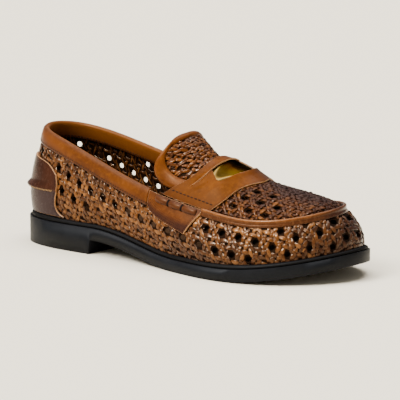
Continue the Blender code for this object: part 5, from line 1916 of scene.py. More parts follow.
@dataclass
class Tongue(Assembly):
    """Woven tongue with its bound edge."""

    binding: float = 3.9
    binding_start: float = 11.0
    pitch_across: float = 5.4
    pitch_along: float = 5.2
    first: float = 21.0
    turn: float = 38.0
    columns: int = 120
    profile: tuple[tuple[float, float], ...] = (
        (0.0, -1.5), (-0.5, -0.6), (-0.45, 0.5), (0.2, 1.25), (1.2, 1.5), (2.5, 1.45),
        (3.5, 1.15), (3.95, 0.45), (3.9, -0.3), (2.6, -1.2), (1.1, -1.75),
    )

    def flat(self, counts: Array) -> Array:
        """Flat tongue places of weave counts.

        Args:
            counts: Weave counts.

        Returns:
            Flat places.
        """
        turn = math.radians(self.turn)
        x = (counts[:, 0] * math.cos(turn) - counts[:, 1] * math.sin(turn)) * self.pitch_across
        y = (counts[:, 0] * math.sin(turn) + counts[:, 1] * math.cos(turn)) * self.pitch_along
        return np.column_stack([x, self.first + y])

    def place(self, counts: Array, offset: Array) -> tuple[Array, Array]:
        """Points and normals of the woven tongue.

        Args:
            counts: Weave counts.
            offset: Distance off the surface.

        Returns:
            Points and normals.
        """
        flat = self.flat(counts)
        normal = self.last.tongue_normal(flat)
        return self.last.tongue(flat) + normal * offset[:, None], normal

    def clear(self, counts: Array) -> Array:
        """Room of tongue strands from the binding.

        Args:
            counts: Weave counts.

        Returns:
            Distances.
        """
        flat = self.flat(counts)
        inside = (flat[:, 1] > 0.5) & (flat[:, 1] < self.last.tongue_length - 0.3)
        half = self.last.tongue_half(flat[:, 1])
        inside &= np.abs(flat[:, 0]) < half - 0.3
        side = half - np.abs(flat[:, 0]) - self.binding
        tip = self.last.tongue_length - flat[:, 1] - self.binding
        return np.where(inside, np.minimum(side, tip), -99.0)

    def opening(self, counts: Array) -> Array:
        """The tongue has no opening."""
        return np.zeros(len(counts), bool)

    def ribbon(self, a: Array, inset: Array, offset: Array) -> Array:
        """Points along the tongue's edge at an inset from it.

        Args:
            a: Share round the edge from one side over the tip to the other.
            inset: Distance from the edge.
            offset: Height off the face.

        Returns:
            Points in millimetres.
        """
        start, end = self.binding_start, self.last.tongue_length
        turn = np.clip(1.0 - np.abs(2.0 * a - 1.0), 0.0, 1.0)
        length = start + (end - start) * np.sin(0.5 * math.pi * turn)
        side = np.where(a < 0.5, -1.0, 1.0)
        half = np.maximum(self.last.tongue_half(length), 0.0)
        crown = smooth_step((turn - 0.80) / 0.20)
        pulled = np.minimum(length, end - inset * (0.15 + 0.85 * smooth_step((turn - 0.35) / 0.4)))
        reach = np.maximum(half - inset * (1.0 - crown), 0.0) * np.cos(0.5 * math.pi * crown) ** 0.5
        flat = np.column_stack([side * reach, pulled])
        return self.last.on_tongue(flat, offset)

    def build(self) -> None:
        """Make strands and binding."""
        weave = Weave(self.place, self.clear, (-9, 10), (-9, 10), self.opening,
                      lambda v: -v, -1.0, 0.5, (1.08, 1.12, 0.80), rise=0.45, base=-0.45, spread=0.25,
                      fill_members=(), tilt=0.36, finish=Finish.TONGUE)
        weave.make(self.shop, "woven_tongue", "tongue")
        share = np.linspace(0.0, 1.0, self.columns + 1)
        rings = np.stack([self.ribbon(share, np.full(len(share), inset), np.full(len(share), lift))
                          for inset, lift in self.profile], axis=1)
        mesh = self.shop.tube("tongue_binding_rolled", rings, False)
        self.shop.add("tongue_binding_rolled", mesh, [Finish.TRIM], "trim_leather", ["tongue_binding"])


@dataclass
class Trim(Assembly):
    """Smooth leather: collar, counter, wings, rolls and apron seam."""

    collar_pitch: float = 2.3
    collar_stitch: Color = (1.75, 0.56, 0.40)
    fine_pitch: float = 2.1
    fine_stitch: Color = (1.4, 0.40, 0.32)
    counter_gap: float = 0.2
    counter_thickness: float = 1.75
    counter_stitch_lift: float = 1.78
    spur_height: float = 21.5
    spur_reach: float = 2.9
    spur_half_length: float = 54.0
    spur_pitch: float = 1.5
    spur_stitch: Color = (2.0, 0.75, 0.6)
    spur_slant: float = 48.0
    wing_gap: float = 0.15
    wing_thickness: float = 1.55
    wing_swell: float = 0.25
    wing_stitch_lift: float = 1.68
    prick_rows: tuple[float, ...] = (3.2, 4.6, 6.0, 7.4)
    prick_pitch: float = 1.4
    prick_size: Color = (0.62, 0.52, 0.30)
    roll_radius: float = 2.6
    roll_drop: float = 3.1
    lashing_radius: float = 0.34
    roll_start: float = 137.5
    roll_end: float = 173.5
    roll_waves: int = 3
    seam_start: float = 174.5
    seam_profile: tuple[tuple[float, float], ...] = (
        (-1.50, 1.00), (-1.28, 1.50), (-0.88, 2.05), (-0.25, 2.40), (0.50, 2.32),
        (1.05, 1.85), (1.32, 1.15), (1.22, 0.50), (0.8, 0.05), (-1.2, 0.0),
    )

    def collar_range(self) -> tuple[float, float]:
        """Perimeter places where the collar binding starts and ends round the heel.

        Returns:
            Start and end.
        """
        last = self.last
        end_x = self.panels.collar_end
        start = float(last.foot_s(last.foot_place(end_x, Side.INNER))) - 1.0
        end = float(last.foot_s(last.foot_place(end_x, Side.OUTER)))
        return start, end

    def collar(self) -> None:
        """Collar binding folded over the top edge, with its stitching."""
        start, end = self.collar_range()
        s = np.linspace(start, end, 220)
        width = self.panels.collar_width
        profile = (
            (width, 0.25), (width + 0.05, 0.8), (width - 0.25, 1.25), (width - 1.1, 1.45), (width - 2.2, 1.55),
            (6.5, 1.80), (4.2, 1.90), (2.0, 1.80), (0.7, 1.55), (-0.2, 1.15), (-0.85, 0.45), (-1.1, -0.5),
            (-1.05, -1.4), (-0.7, -2.2), (0.3, -2.75), (1.8, -2.95), (5.0, -3.0), (9.0, -2.95), (10.2, -2.8),
            (10.5, -2.3), (10.4, -1.85), (5.0, -1.85), (0.3, -1.85), (-0.25, -1.2), (-0.25, -0.3), (0.3, 0.2),
        )
        rings = np.stack([self.last.collar_point(s, drop, lift) for drop, lift in profile], axis=1)
        # Marks by profile point: burnish darkens the outside towards its lower edge and just below the top
        # fold, and the inside towards its lower edge; tint paints a highlight along the top fold and lightens
        # the shaded inside band.
        marks = {
            "burnish": (0.85, 0.80, 0.66, 0.52, 0.40, 0.14, 0.03, 0.08, 0.22, 0.34, 0.30, 0.10, 0.05,
                        0.02, 0.0, 0.0, 0.0, 0.10, 0.3, 0.5, 0.5, 0.5, 0.5, 0.5, 0.5, 0.5),
            "tint": (0.0, 0.0, 0.0, 0.0, 0.0, 0.0, 0.06, 0.02, 0.0, 0.0, 0.10, 0.30, 0.30,
                     0.34, 0.42, 0.46, 0.42, 0.20, 0.0, 0.0, 0.0, 0.0, 0.0, 0.0, 0.0, 0.0),
        }
        mesh = self.shop.tube("collar_binding_folded", rings, False, marks)
        self.shop.add("collar_binding_folded", mesh, [Finish.TRIM], "trim_leather", ["collar_binding"])
        self.collar_stitches(start, end, width - 1.5, 1.50, "collar_stitches_outside")
        self.collar_stitches(start, end, 8.9, -2.98, "collar_stitches_inside")

    def collar_stitches(self, start: float, end: float, drop: float, offset: float, name: str) -> None:
        """Row of stitches along the collar.

        Args:
            start: Place where it starts.
            end: Place where it ends.
            drop: Distance below the edge.
            offset: Distance off the surface.
            name: Name of the piece.
        """
        fine = np.linspace(start, end, 2000)
        line = self.last.collar_point(fine, drop, offset)
        out = self.last.wall_normal(np.mod(fine, 1.0), 0.9) * (1.0 if offset > 0.0 else -1.0)
        self.shop.stitch_line(name, line, out, self.collar_pitch, self.collar_stitch, Finish.THREAD)

    def wall_stitches(self, name: str, seam: Array, lift: float) -> None:
        """Fine stitches along a flat line of the wall.

        Args:
            name: Name of the piece.
            seam: Flat places of the line.
            lift: Distance off the wall.
        """
        out = self.last.wall_normal(*self.last.wall_at(seam))
        line = self.last.on_wall(seam, lift)
        self.shop.stitch_line(name, line, out, self.fine_pitch, self.fine_stitch, Finish.THREAD)

    @staticmethod
    def coons(bottom: Array, top: Array, left: Array, right: Array, a: Array, b: Array) -> Array:
        """Flat patch between four edges given as evenly sampled points.

        Args:
            bottom: Lower edge.
            top: Upper edge.
            left: First side.
            right: Second side.
            a: Shares along.
            b: Shares up.

        Returns:
            Flat places.
        """
        def along(edge: Array, share: Array) -> Array:
            """Point of an edge at a share of its length."""
            length = running(edge)
            return pick(share, length / length[-1], edge)

        a1, b1 = a[:, None], b[:, None]
        ruled = (1.0 - b1) * along(bottom, a) + b1 * along(top, a)
        ruled += (1.0 - a1) * along(left, b) + a1 * along(right, b)
        corners = (1.0 - a1) * (1.0 - b1) * bottom[0] + a1 * (1.0 - b1) * bottom[-1]
        return ruled - corners - (1.0 - a1) * b1 * top[0] - a1 * b1 * top[-1]

    @staticmethod
    def bend(points: Array, count: int = 40) -> Array:
        """Smooth line through flat points."""
        knots = running(points)
        return spline(knots, points, np.linspace(0.0, knots[-1], count))

    def spur(self, flat: Array) -> Array:
        """Extra thickness of the counter at its ledge.

        Args:
            flat: Flat places.

        Returns:
            Thicknesses.
        """
        along = np.where(flat[:, 0] > 0.5 * self.last.around, flat[:, 0] - self.last.around, flat[:, 0])
        reach = np.clip(1.0 - (along / self.spur_half_length) ** 2, 0.22, 1.0)
        above = flat[:, 1] - self.spur_height
        shape = np.where(above < 0.0, np.exp(-(above / 0.45) ** 2), np.exp(-(above / 2.6) ** 2))
        return self.spur_reach * reach * shape

    def counter(self) -> None:
        """Heel counter with its ledge, raw front edge and stitching."""
        last = self.last
        outer_front = self.bend(self.panels.edge(COUNTER_FRONT, Side.OUTER))
        inner_front = self.bend(self.panels.edge(COUNTER_FRONT, Side.INNER) - [last.around, 0.0])
        outer_top = self.panels.edge(COUNTER_TOP, Side.OUTER)
        inner_top = self.panels.edge(COUNTER_TOP, Side.INNER) - [last.around, 0.0]
        top = self.bend(np.vstack([inner_top, [[0.0, COUNTER_CROWN]], outer_top[::-1]]), 80)
        bottom = np.linspace(inner_front[0], outer_front[0], 40)

        def flat(a: Array, b: Array) -> Array:
            """Flat place of a share along and up."""
            return self.coons(bottom, top, inner_front, outer_front, a, b)

        def burn(a: Array, b: Array) -> Array:
            """Burnish of the half below the ledge and of the edges."""
            up = flat(a, b)[:, 1]
            return 0.75 * smooth_step((self.spur_height - up) / 1.5) + 0.25 * np.abs(2.0 * a - 1.0) ** 6

        inner = over(flat, last.on_wall, self.counter_gap)
        outer = over(flat, last.on_wall, lambda a, b: self.counter_thickness + self.spur(flat(a, b)))
        mesh = self.shop.patch("heel_counter_panel", 84, 96, inner, outer, round_edge=0.35, burn=burn)
        self.shop.add("heel_counter_panel", mesh, [Finish.BURNISHED, Finish.EDGE], "burnished_leather",
                      ["heel_counter"])
        reach = np.linspace(-self.spur_half_length + 5.0, self.spur_half_length - 5.0, 400)
        spot = np.column_stack([reach, np.full(len(reach), self.spur_height - 0.35)])
        line = last.on_wall(spot, self.counter_thickness + self.spur(spot) + 0.12)
        out = last.wall_normal(*last.wall_at(spot)) + [0.0, 0.0, 0.1]
        self.shop.stitch_line("spur_stitches", line, out, self.spur_pitch, self.spur_stitch, Finish.CREAM,
                              self.spur_slant)
        for side, front in ((Side.OUTER, outer_front), (Side.INNER, inner_front)):
            shift = -1.5 if side is Side.OUTER else 1.5
            seam = front[2:-1] + [shift, 0.0]
            self.wall_stitches(f"counter_stitches_{side.value}", seam, self.counter_stitch_lift)

    def wing(self, side: Side) -> None:
        """Side wing under the end of the saddle with its seam and raw edge.

        Args:
            side: Side of the foot.
        """
        last = self.last
        low = self.bend(self.panels.edge(WING_LOW, side))
        front = self.bend(self.panels.edge(WING_FRONT, side))
        reach = np.linspace(low[0, 0], front[-1, 0], 60)
        s = last.foot_s(reach)
        top = np.column_stack([reach, last.wall_height(s) - 0.1])
        left = np.linspace(low[0], top[0], 10)
        right = np.vstack([front, top[-1:]])

        def flat(a: Array, b: Array) -> Array:
            """Flat place of a share along and up."""
            return self.coons(low, top, left, right, a, b)

        def swell(a: Array, b: Array) -> Array:
            """Height of the outer face, larger over its middle."""
            dome = np.sin(math.pi * np.clip(b, 0.0, 1.0)) * np.sin(math.pi * np.clip(a, 0.0, 1.0)) ** 0.5
            return self.wing_thickness + self.wing_swell * dome

        def burn(a: Array, b: Array) -> Array:
            """Burnish of the lower third, the front edge and the top edge."""
            low_part = 0.62 * smooth_step((0.46 - b) / 0.30) + 0.25 * smooth_step((b - 0.72) / 0.2)
            return low_part + 0.20 * smooth_step((a - 0.7) / 0.3) + 0.20

        name = f"wing_panel_{side.value}"
        inner, outer = over(flat, last.on_wall, self.wing_gap), over(flat, last.on_wall, swell)
        mesh = self.shop.patch(name, 60, 32, inner, outer, burn=burn)
        self.shop.add(name, mesh, [Finish.TRIM, Finish.EDGE], "trim_leather", [f"wing_{side.value}"])
        self.pinholes(side, low)
        ahead = 1.0 if side is Side.OUTER else -1.0
        for tag, line in (("low", low[2:-2] + [0.0, 1.6]), ("front", front[2:-4] - [1.6 * ahead, -0.4])):
            self.wall_stitches(f"wing_stitches_{tag}_{side.value}", line, self.wing_stitch_lift)

    def pinholes(self, side: Side, low: Array) -> None:
        """Rows of fine pricks along the lower part of a wing.

        Args:
            side: Side of the foot.
            low: Lower edge of the wing.
        """
        places, runs, outs = [], [], []
        for k, lift in enumerate(self.prick_rows):
            line = low[3:-3] + [0.0, lift]
            length = running(line)
            at = np.arange(0.4 + 0.5 * self.prick_pitch * (k % 2), length[-1], self.prick_pitch)
            spot = pick(at, length, line)
            places.append(self.last.on_wall(spot, 1.66))
            outs.append(self.last.wall_normal(*self.last.wall_at(spot)))
            runs.append(np.tile([1.0, 0.0, 0.0], (len(spot), 1)))
        name = f"wing_pricks_{side.value}"
        mesh = self.shop.scatter(name, np.vstack(places), np.vstack(runs), np.vstack(outs), self.prick_size)
        self.shop.add(name, mesh, [Finish.THREAD], "trim_leather")

    def roll(self, side: Side) -> None:
        """Rolled end of the saddle: swells lashed down with thread.

        Args:
            side: Side of the foot.
        """
        last = self.last
        ends = sorted(last.foot_place(x, side) for x in (self.roll_start, self.roll_end))
        run = np.linspace(ends[0], ends[1], 24 * self.roll_waves + 1)
        phase = np.linspace(0.0, math.pi * self.roll_waves, len(run))
        swell = np.abs(np.sin(phase)) ** 0.6
        width = self.roll_radius * (0.74 + 0.26 * swell)
        tall = self.roll_radius * (0.36 + 0.64 * swell)
        s = last.foot_s(run)
        middle = last.wall_height(s) - self.roll_drop
        rows = []
        for angle in np.linspace(-0.06 * math.pi, 1.06 * math.pi, 13):
            t = last.up_to_t(s, middle - math.cos(angle) * width)
            lift = 1.5 + math.sin(angle) * tall
            rows.append(last.wall(s, t) + last.wall_normal(s, t) * lift[:, None])
        name = f"beef_roll_{side.value}_lashed"
        # Darker all over, and darkest where the roll meets the wall, which is painted shade.
        marks = {"burnish": (1.0, 0.95, 0.86, 0.74, 0.64, 0.57, 0.54, 0.54, 0.58, 0.66, 0.78, 0.9, 1.0)}
        mesh = self.shop.tube(name, np.stack(rows, axis=1), False, marks)
        self.shop.add(name, mesh, [Finish.TRIM], "burnished_leather", [f"beef_roll_{side.value}"])
        knots = np.linspace(ends[0], ends[1], self.roll_waves + 1)[1:-1]
        for k, knot in enumerate(knots):
            for turn, shift in enumerate((-0.45, 0.45)):
                at = np.full(15, float(last.foot_s(knot + shift)))
                angle = np.linspace(-0.05 * math.pi, 1.05 * math.pi, 15)
                t = last.up_to_t(at, last.wall_height(at) - self.roll_drop - np.cos(angle) * 2.2)
                line = last.wall(at, t) + last.wall_normal(at, t) * (1.7 + np.sin(angle) * 1.35)[:, None]
                self.cord(f"roll_lashing_{side.value}_{k}_{turn}", line, self.lashing_radius, Finish.THREAD)

    def cord(self, name: str, line: Array, radius: float, finish: Finish) -> None:
        """Round thread along a line.

        Args:
            name: Name of the piece.
            line: Points of the line.
            radius: Radius of the thread.
            finish: Finish to wear.
        """
        ahead = unit(np.gradient(line, axis=0))
        side = unit(np.cross(ahead, [0.31, 0.52, 0.80]))
        other = np.cross(ahead, side)
        angle = np.linspace(0.0, 2.0 * math.pi, 8, endpoint=False)
        rings = line[:, None] + radius * (side[:, None] * np.cos(angle)[None, :, None]
                                          + other[:, None] * np.sin(angle)[None, :, None])
        self.shop.add(name, self.shop.tube(name, rings, False), [finish], "trim_leather")

    def apron_seam(self) -> None:
        """Raised seam round the apron: a flat band on the wall with a cord along its edge."""
        last = self.last
        s = np.linspace(last.seam_place(self.seam_start, Side.OUTER) - 0.004,
                        last.seam_place(self.seam_start, Side.INNER) + 0.004, 220)
        edge = last.wall(s, 1.0)
        out = last.seam_normal(s)
        rise = edge - last.wall(s, 0.98)
        rise = unit(rise - out * np.sum(rise * out, axis=1)[:, None])
        low = last.up_to_t(s, last.wall_height(s) - self.panels.apron_band)
        foot = last.wall(s, low)
        foot_out = last.wall_normal(s, low)
        half = last.up_to_t(s, last.wall_height(s) - 0.62 * self.panels.apron_band)
        band = last.wall(s, half) + last.wall_normal(s, half) * 0.62
        rows = [foot + foot_out * 0.1, foot + foot_out * 0.42, band]
        for along, lift in self.seam_profile:
            rows.append(edge + rise * along + out * (last.gap + lift - 0.2))
        # Painted shade at the band's foot, in the notch and where the cord meets the apron; painted highlight
        # along the crest through the tint; burnish darkens the band and the cord's apron side.
        marks = {
            "burnish": (0.6, 0.52, 0.40, 0.36, 0.22, 0.08, 0.0, 0.0, 0.1, 0.3, 0.5, 0.6, 0.6),
            "tint": (0.0, 0.0, 0.0, 0.0, 0.0, 0.12, 0.30, 0.30, 0.10, 0.0, 0.0, 0.0, 0.0),
            "recess_shade": (0.5, 0.2, 0.0, 0.25, 0.05, 0.0, 0.0, 0.0, 0.0, 0.1, 0.4, 0.6, 0.6),
        }
        mesh = self.shop.tube("apron_seam_cord", np.stack(rows, axis=1), False, marks)
        self.shop.add("apron_seam_cord", mesh, [Finish.PIPING], "trim_leather", ["apron_seam"])

    def build(self) -> None:
        """Make every trim piece."""
        self.collar()
        self.counter()
        self.apron_seam()
        for side in Side:
            self.wing(side)
            self.roll(side)


class Fold(NamedTuple):
    """Crease placed from one place to another, a trough if its height is negative."""

    across: float
    share: float
    to_across: float
    to_share: float
    width: float
    height: float

    def depth_at(self, across: Array, share: Array) -> Array:
        """Height that the fold adds at places across and along a panel.

        Args:
            across: Shares across the instep.
            share: Shares along the panel.

        Returns:
            Heights.
        """
        run = np.array([self.to_across - self.across, self.to_share - self.share])
        away = np.column_stack([across - self.across, share - self.share])
        part = np.clip(away @ run / (run @ run), 0.0, 1.0)
        off = np.linalg.norm(away - part[:, None] * run, axis=1) / self.width
        return self.height * np.exp(-off ** 2) * np.sin(math.pi * (0.08 + 0.84 * part))


@dataclass
class Saddle(Assembly):
    """Saddle strap over the instep with its slot, the plate under it and its stitching."""

    slit_share: float = 0.22
    slit_half_share: float = 0.013
    slit_half_across: float = 0.78
    mouth_half_across: float = 0.42
    slot_half_across: float = 0.545
    slot_side_share: float = 0.52
    slot_front_share: float = 0.655
    plate_share: float = 0.43
    plate_half_share: float = 0.275
    plate_half_across: float = 0.62
    end: float = 0.985
    columns: int = 160
    row_marks: tuple[int, ...] = (0, 18, 19, 24, 27, 60)
    along: float = 36.0
    thickness: float = 1.0
    back_lip: float = 0.45
    front_lip: float = 0.70
    stitch_across: float = 0.90
    stitch_pitch: float = 3.2
    stitch_size: Color = (2.6, 0.80, 0.50)
    plate_gap: float = 0.25
    plate_height: float = 1.50
    plate_rim: float = 0.18
    plate_back: float = 0.38
    rim_radius: float = 0.84
    folds: tuple[Fold, ...] = (
        Fold(-0.80, 0.30, -0.50, 0.46, 0.035, -0.30),
        Fold(-0.84, 0.36, -0.60, 0.58, 0.045, 0.22),
        Fold(-0.76, 0.44, -0.44, 0.70, 0.050, -0.16),
        Fold(-0.50, 0.80, 0.10, 0.66, 0.060, 0.18),
        Fold(0.80, 0.30, 0.50, 0.46, 0.035, -0.30),
        Fold(0.82, 0.40, 0.56, 0.62, 0.045, 0.20),
    )

    def edges(self, across: Array) -> Array:
        """Shares of the back edge, the slit's edges, the slot's edges and the front edge, one row each.

        Args:
            across: Shares across the instep.

        Returns:
            Shares, one row for each edge.
        """
        reach = np.abs(across)
        fade = np.clip((self.slit_half_across - reach) / 0.02, 0.0, 1.0)
        slit = self.slit_half_share * fade
        tab = (reach - self.mouth_half_across) / (self.slot_half_across - self.mouth_half_across)
        lower = self.slit_share + slit
        back = lower + np.clip(tab, 0.0, 1.0) * (self.slot_side_share - 0.02 - lower)
        part = np.clip(reach / self.slot_half_across, 0.0, 1.0)
        deep = self.slot_front_share - self.slot_side_share - 0.02
        front = self.slot_side_share + 0.02 + deep * np.sqrt(np.maximum(1.0 - part ** 5, 0.0))
        return np.stack([np.zeros_like(reach), self.slit_share - slit, lower, back, front, np.ones_like(reach)])

    def band(self, b: Array) -> Array:
        """Number of the band of grid rows that a share lies in."""
        return np.searchsorted(np.array(self.row_marks[1:-1]) / self.row_marks[-1] + 1e-6, b)

    def share(self, across: Array, b: Array) -> Array:
        """Share along the saddle of a grid row, opening at the slit and the slot.

        Args:
            across: Shares across the instep.
            b: Shares along the grid.

        Returns:
            Shares.
        """
        marks = np.array(self.row_marks) / self.row_marks[-1]
        edges, band, each = self.edges(across), self.band(b), np.arange(len(b))
        part = (b - marks[band]) / (marks[band + 1] - marks[band])
        return edges[band, each] + part * (edges[band + 1, each] - edges[band, each])

    def flat(self, a: Array, b: Array) -> Array:
        """Plan place of grid shares."""
        across = self.end * (2.0 * a - 1.0)
        return self.last.saddle_point(across, self.share(across, b))

    def lip(self, a: Array, b: Array) -> Array:
        """Rise of the leather beside the slot, with the creases.

        Args:
            a: Shares along the first side.
            b: Shares along the second side.

        Returns:
            Heights.
        """
        across = self.end * (2.0 * a - 1.0)
        reach, share, band, edges = np.abs(across), self.share(across, b), self.band(b), self.edges(across)
        strap = np.exp(-((share - edges[1]) * self.along / 2.2) ** 2) * (band == 0)
        strap *= self.back_lip * smooth_step((self.slit_half_across - reach) / 0.3)
        front = np.exp(-((share - edges[4]) * self.along / 2.6) ** 2)
        front *= b * self.row_marks[-1] > self.row_marks[4] - 0.01
        front *= self.front_lip * smooth_step((self.slot_half_across - reach) / 0.30)
        return strap + front + sum(fold.depth_at(across, share) for fold in self.folds)

    def build(self) -> None:
        """Make saddle, plate and stitches."""
        last = self.last

        def height(a: Array, b: Array) -> Array:
            """Height of the strap's underside."""
            return last.saddle_rise(self.flat(a, b)) + self.lip(a, b)

        def open_slot(a: Array, b: Array) -> Array:
            """Positive inside the slot."""
            ends = np.array([0.0, self.slit_half_across, self.mouth_half_across, self.slot_half_across, 0.0])
            return ends[self.band(b)] - np.abs(self.end * (2.0 * a - 1.0))

        def burn(a: Array, b: Array) -> Array:
            """Burnish of the back edge, and darkening of the ends that is partly burnish and partly painted
            shade where the sheen falls away.

            Args:
                a: Shares along the first side.
                b: Shares along the second side.

            Returns:
                Burnish.
            """
            ends = np.abs(2.0 * a - 1.0)
            strap = 0.34 * smooth_step((0.30 - b) / 0.08) * smooth_step((a - 0.42) / 0.2)
            edge = 0.22 * smooth_step((0.20 - b) / 0.20) + 0.16 * smooth_step((b - 0.90) / 0.10)
            return 0.45 * smooth_step((ends - 0.62) / 0.36) + strap + edge

        inner = over(self.flat, last.on_apron, lambda a, b: height(a, b) - 0.1)
        outer = over(self.flat, last.on_apron, lambda a, b: height(a, b) + self.thickness)
        mesh = self.shop.patch("saddle_strap", self.columns, self.row_marks[-1], inner, outer, open_slot,
                               0.16, burn)
        self.shop.add("saddle_strap", mesh, [Finish.SADDLE, Finish.EDGE], "trim_leather", ["saddle"])
        self.plate()
        fine = np.linspace(0.04, 0.96, 300)
        for side, across in ((Side.OUTER, -self.stitch_across), (Side.INNER, self.stitch_across)):
            spot = last.saddle_point(np.full(len(fine), across), fine)
            line = last.on_apron(spot, last.saddle_rise(spot) + self.thickness + 0.05)
            self.shop.stitch_line(f"saddle_stitches_{side.value}", line, last.apron_normal(spot),
                                  self.stitch_pitch, self.stitch_size, Finish.THREAD)

    def plate(self) -> None:
        """Plain metal plate under the slot."""
        last = self.last

        def flat(a: Array, b: Array) -> Array:
            """Plan place inside a blunt eye.

            Args:
                a: Shares along the first side.
                b: Shares along the second side.

            Returns:
                Plan places.
            """
            x, y = 2.0 * a - 1.0, 2.0 * b - 1.0
            round_x = x * np.sqrt(1.0 - 0.5 * y * y)
            round_y = y * np.sqrt(1.0 - 0.5 * x * x)
            across = self.plate_half_across * np.sign(round_x) * np.abs(round_x) ** 0.9
            share = self.plate_share + self.plate_half_share * np.sign(round_y) * np.abs(round_y) ** 0.85
            return last.saddle_point(across, share)

        def rim(a: Array, b: Array, width: float = 0.07) -> Array:
            """Share of the raised rim."""
            return np.exp(-((np.hypot(2.0 * a - 1.0, 2.0 * b - 1.0) - self.rim_radius) / width) ** 2)

        def top(a: Array, b: Array) -> Array:
            """Height of the face, with a plain raised rim.

            Args:
                a: Shares along the first side.
                b: Shares along the second side.

            Returns:
                Heights.
            """
            rise = self.plate_height + self.plate_rim * rim(a, b, 0.05)
            rise += self.plate_back * smooth_step((0.42 - b) / 0.30)
            return np.minimum(rise, last.saddle_rise(flat(a, b)) - 0.14)

        inner, outer = over(flat, last.on_apron, self.plate_gap), over(flat, last.on_apron, top)
        # The rim share goes into the burnish mark, which paints a highlight along the raised rim.
        mesh = self.shop.patch("saddle_plate_plain", 48, 32, inner, outer, round_edge=0.15, burn=rim)
        self.shop.add("saddle_plate_plain", mesh, [Finish.PLATE, Finish.PLATE], "plate_metal", ["saddle_plate"])


@dataclass
class Bottom(Assembly):
    """Sole with its heel, welt and insole."""

    edge_round: float = 0.9
    welt_inset: float = 1.2
    welt_heel_extra: float = 1.6
    welt_heel_reach: float = 60.0
    insole_inset: float = 6.7
    insole_thickness: float = 2.4
    insole_dish: float = 0.7

    def across(self, pairs: Array, inset: float) -> Callable[[Array, Array], Array]:
        """Plan place on the sole from shares along and across it.

        Args:
            pairs: Outer and inner places.
            inset: Distance inward from the edge.

        Returns:
            Function of the shares along and across.
        """
        outer = self.last.sole_edge(pairs[:, 0], inset)
        inner = self.last.sole_edge(pairs[:, 1], inset)
        steps = len(pairs) - 1

        def place(a: Array, b: Array) -> Array:
            """Plan place of shares."""
            row = np.rint(a * steps).astype(int)
            return outer[row] + (inner[row] - outer[row]) * b[:, None]

        return place

    @staticmethod
    def level(spot: Array, height: Array) -> Array:
        """Plan places lifted to a height."""
        return np.column_stack([spot[:, :2], height])

    def outsole(self) -> None:
        """Moulded sole: flat under heel and ball, arched between."""
        last = self.last
        cuts = (last.heel_breast - last.breast_slope, last.heel_breast)
        pairs = seam_stations(last, 110, cuts)
        plan = self.across(pairs, 0.0)
        heel_row = int(np.argmin(np.abs(last.sole_edge(pairs[:, 0], 0.0)[:, 0] - cuts[0])))

        def low(a: Array, b: Array) -> Array:
            """Underside, on the floor under the heel."""
            spot, heel = plan(a, b), np.rint(a * (len(pairs) - 1)) <= heel_row
            return self.level(spot, np.where(heel, 0.0, last.sole_bottom(spot[:, 0])))

        def high(a: Array, b: Array) -> Array:
            """Upper face."""
            spot = plan(a, b)
            return self.level(spot, last.sole_top(spot[:, 0]))

        mesh = self.shop.patch("outsole_moulded", len(pairs) - 1, 16, low, high, round_edge=self.edge_round)
        self.shop.add("outsole_moulded", mesh, [Finish.SOLE, Finish.SOLE], "sole_rubber", ["outsole"])

    def insole(self) -> None:
        """Sock leather over the footbed, dished a little under the heel."""
        last = self.last
        pairs = seam_stations(last, 80)
        plan = self.across(pairs, self.insole_inset)

        def low(a: Array, b: Array) -> Array:
            """Underside."""
            spot = plan(a, b)
            return self.level(spot, last.sole_top(spot[:, 0]) + last.gap)

        def high(a: Array, b: Array) -> Array:
            """Upper face."""
            dish = self.insole_dish * np.sin(math.pi * b) * np.sin(math.pi * np.clip(a, 0, 1))
            return low(a, b) + np.outer(self.insole_thickness - dish, (0.0, 0.0, 1.0))

        mesh = self.shop.patch("insole_sock", len(pairs) - 1, 24, low, high, round_edge=0.5)
        self.shop.add("insole_sock", mesh, [Finish.SOCK, Finish.EDGE], "insole_leather", ["insole"])

    def welt(self) -> None:
        """Dark rand round the foot of the upper."""
        last = self.last
        s = np.linspace(0.0, 1.0, 360, endpoint=False)
        heel = np.clip(1.0 - last.section(s)[:, 0] / self.welt_heel_reach, 0.0, 1.0)
        tall = self.panels.welt_height + self.welt_heel_extra * heel
        base = last.sole_edge(s, self.welt_inset)
        base[:, 2] = last.sole_top(base[:, 0]) + 0.05
        inner = last.sole_edge(s, last.foot_inset - 0.2)
        inner[:, 2] = last.sole_top(inner[:, 0]) + 0.05
        t = last.up_to_t(s, tall)
        top = stand(last.wall(s, t), last.wall_normal(s, t), 0.3)
        lean = last.sole_edge(s, self.welt_inset + 0.8 + 0.6 * heel)
        lean[:, 2] = base[:, 2] + tall
        brow = 0.5 * (lean + top) + np.array([0.0, 0.0, 0.25])
        shoulder = 0.75 * lean + 0.25 * base + last.plan_normal(s) * 0.15
        side = 0.5 * (base + lean) + last.plan_normal(s) * 0.25
        rings = np.stack([inner, base, side, shoulder, brow, top], axis=1)
        mesh = self.shop.tube("welt_rand", rings, True)
        self.shop.add("welt_rand", mesh, [Finish.WELT], "welt_leather", ["welt"])

    def build(self) -> None:
        """Make the bottom of the shoe."""
        self.outsole()
        self.welt()
        self.insole()


class Lamp(NamedTuple):
    """Soft even light: the direction that it comes from, its apparent width and its strength."""

    name: str
    x: float
    y: float
    z: float
    degrees: float
    strength: float
    gloss_only: bool = False


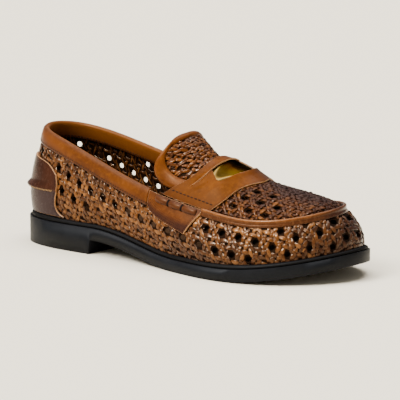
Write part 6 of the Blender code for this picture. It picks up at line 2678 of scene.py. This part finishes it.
@dataclass
class Studio:
    """Pale floor, soft light and the camera at the photograph's angle."""

    azimuth: float = 38.8
    elevation: float = 10.2
    distance: float = 1.5
    target: tuple[float, float, float] = (0.0014, -0.0011, 0.040)
    frame_pixels: float = 400.0
    focal_pixels: float = 2240.0
    centre_shift_x: float = 0.033
    centre_shift_y: float = -0.003
    sensor: float = 36.0
    far_clip: float = 50.0
    floor_half: float = 9.0
    sky: tuple[float, float, float, float] = (1.0, 0.985, 0.955, 1.0)
    sky_strength: float = 0.40
    lamps: tuple[Lamp, ...] = (
        Lamp("top_light", -0.10, 0.10, 1.00, 60.0, 5.1),
        Lamp("key_light", -0.35, -0.75, 0.85, 30.0, 3.9),
        Lamp("spark_light", -0.05, -0.60, 0.80, 7.0, 7.0, True),
    )

    def build(self) -> None:
        """Put floor, lights and camera into the scene."""
        scene = bpy.context.scene
        body = bmesh.new()
        bmesh.ops.create_grid(body, x_segments=2, y_segments=2, size=self.floor_half)
        mesh = bpy.data.meshes.new("studio_floor")
        body.to_mesh(mesh)
        body.free()
        mesh.materials.append(Finish.FLOOR.value.make())
        floor = bpy.data.objects.new("studio_floor", mesh)
        scene.collection.objects.link(floor)
        world = bpy.data.worlds.new("studio_world")
        world.use_nodes = True
        sky = world.node_tree.nodes["Background"]
        sky.inputs["Color"].default_value = self.sky
        sky.inputs["Strength"].default_value = self.sky_strength
        scene.world = world
        aim = Vector(self.target)
        for lamp in self.lamps:
            data = bpy.data.lights.new(lamp.name, "SUN")
            data.angle = math.radians(lamp.degrees)
            data.energy = lamp.strength
            item = bpy.data.objects.new(lamp.name, data)
            item.visible_diffuse = not lamp.gloss_only
            toward = Vector((lamp.x, lamp.y, lamp.z))
            item.location = aim + toward
            item.rotation_euler = toward.to_track_quat("Z", "Y").to_euler()
            scene.collection.objects.link(item)
        self.camera(aim)

    def camera(self, aim: Vector) -> None:
        """Camera at the photograph's angle, framing the shoe.

        Args:
            aim: Point that the camera looks at.
        """
        turn, lift = math.radians(self.azimuth), math.radians(self.elevation)
        back = Vector((math.sin(turn) * math.cos(lift), -math.cos(turn) * math.cos(lift), math.sin(lift)))
        data = bpy.data.cameras.new("camera")
        data.sensor_width = self.sensor
        data.lens = self.focal_pixels / self.frame_pixels * self.sensor
        data.shift_x = self.centre_shift_x
        data.shift_y = self.centre_shift_y
        data.clip_end = self.far_clip
        item = bpy.data.objects.new("camera", data)
        item.location = aim + back * self.distance
        item.rotation_euler = (-back).to_track_quat("-Z", "Y").to_euler()
        bpy.context.scene.collection.objects.link(item)
        bpy.context.scene.camera = item


def main() -> None:
    """Build every piece in order."""
    logging.basicConfig(level=logging.INFO, format="%(name)s: %(message)s")
    last = Last()
    shop = Workshop(last)
    panels = Panels(last)
    for assembly in (Bottom, Upper, Trim, Saddle, Tongue):
        assembly(shop, panels).build()
    Studio().build()


if __name__ == "__main__":
    main()
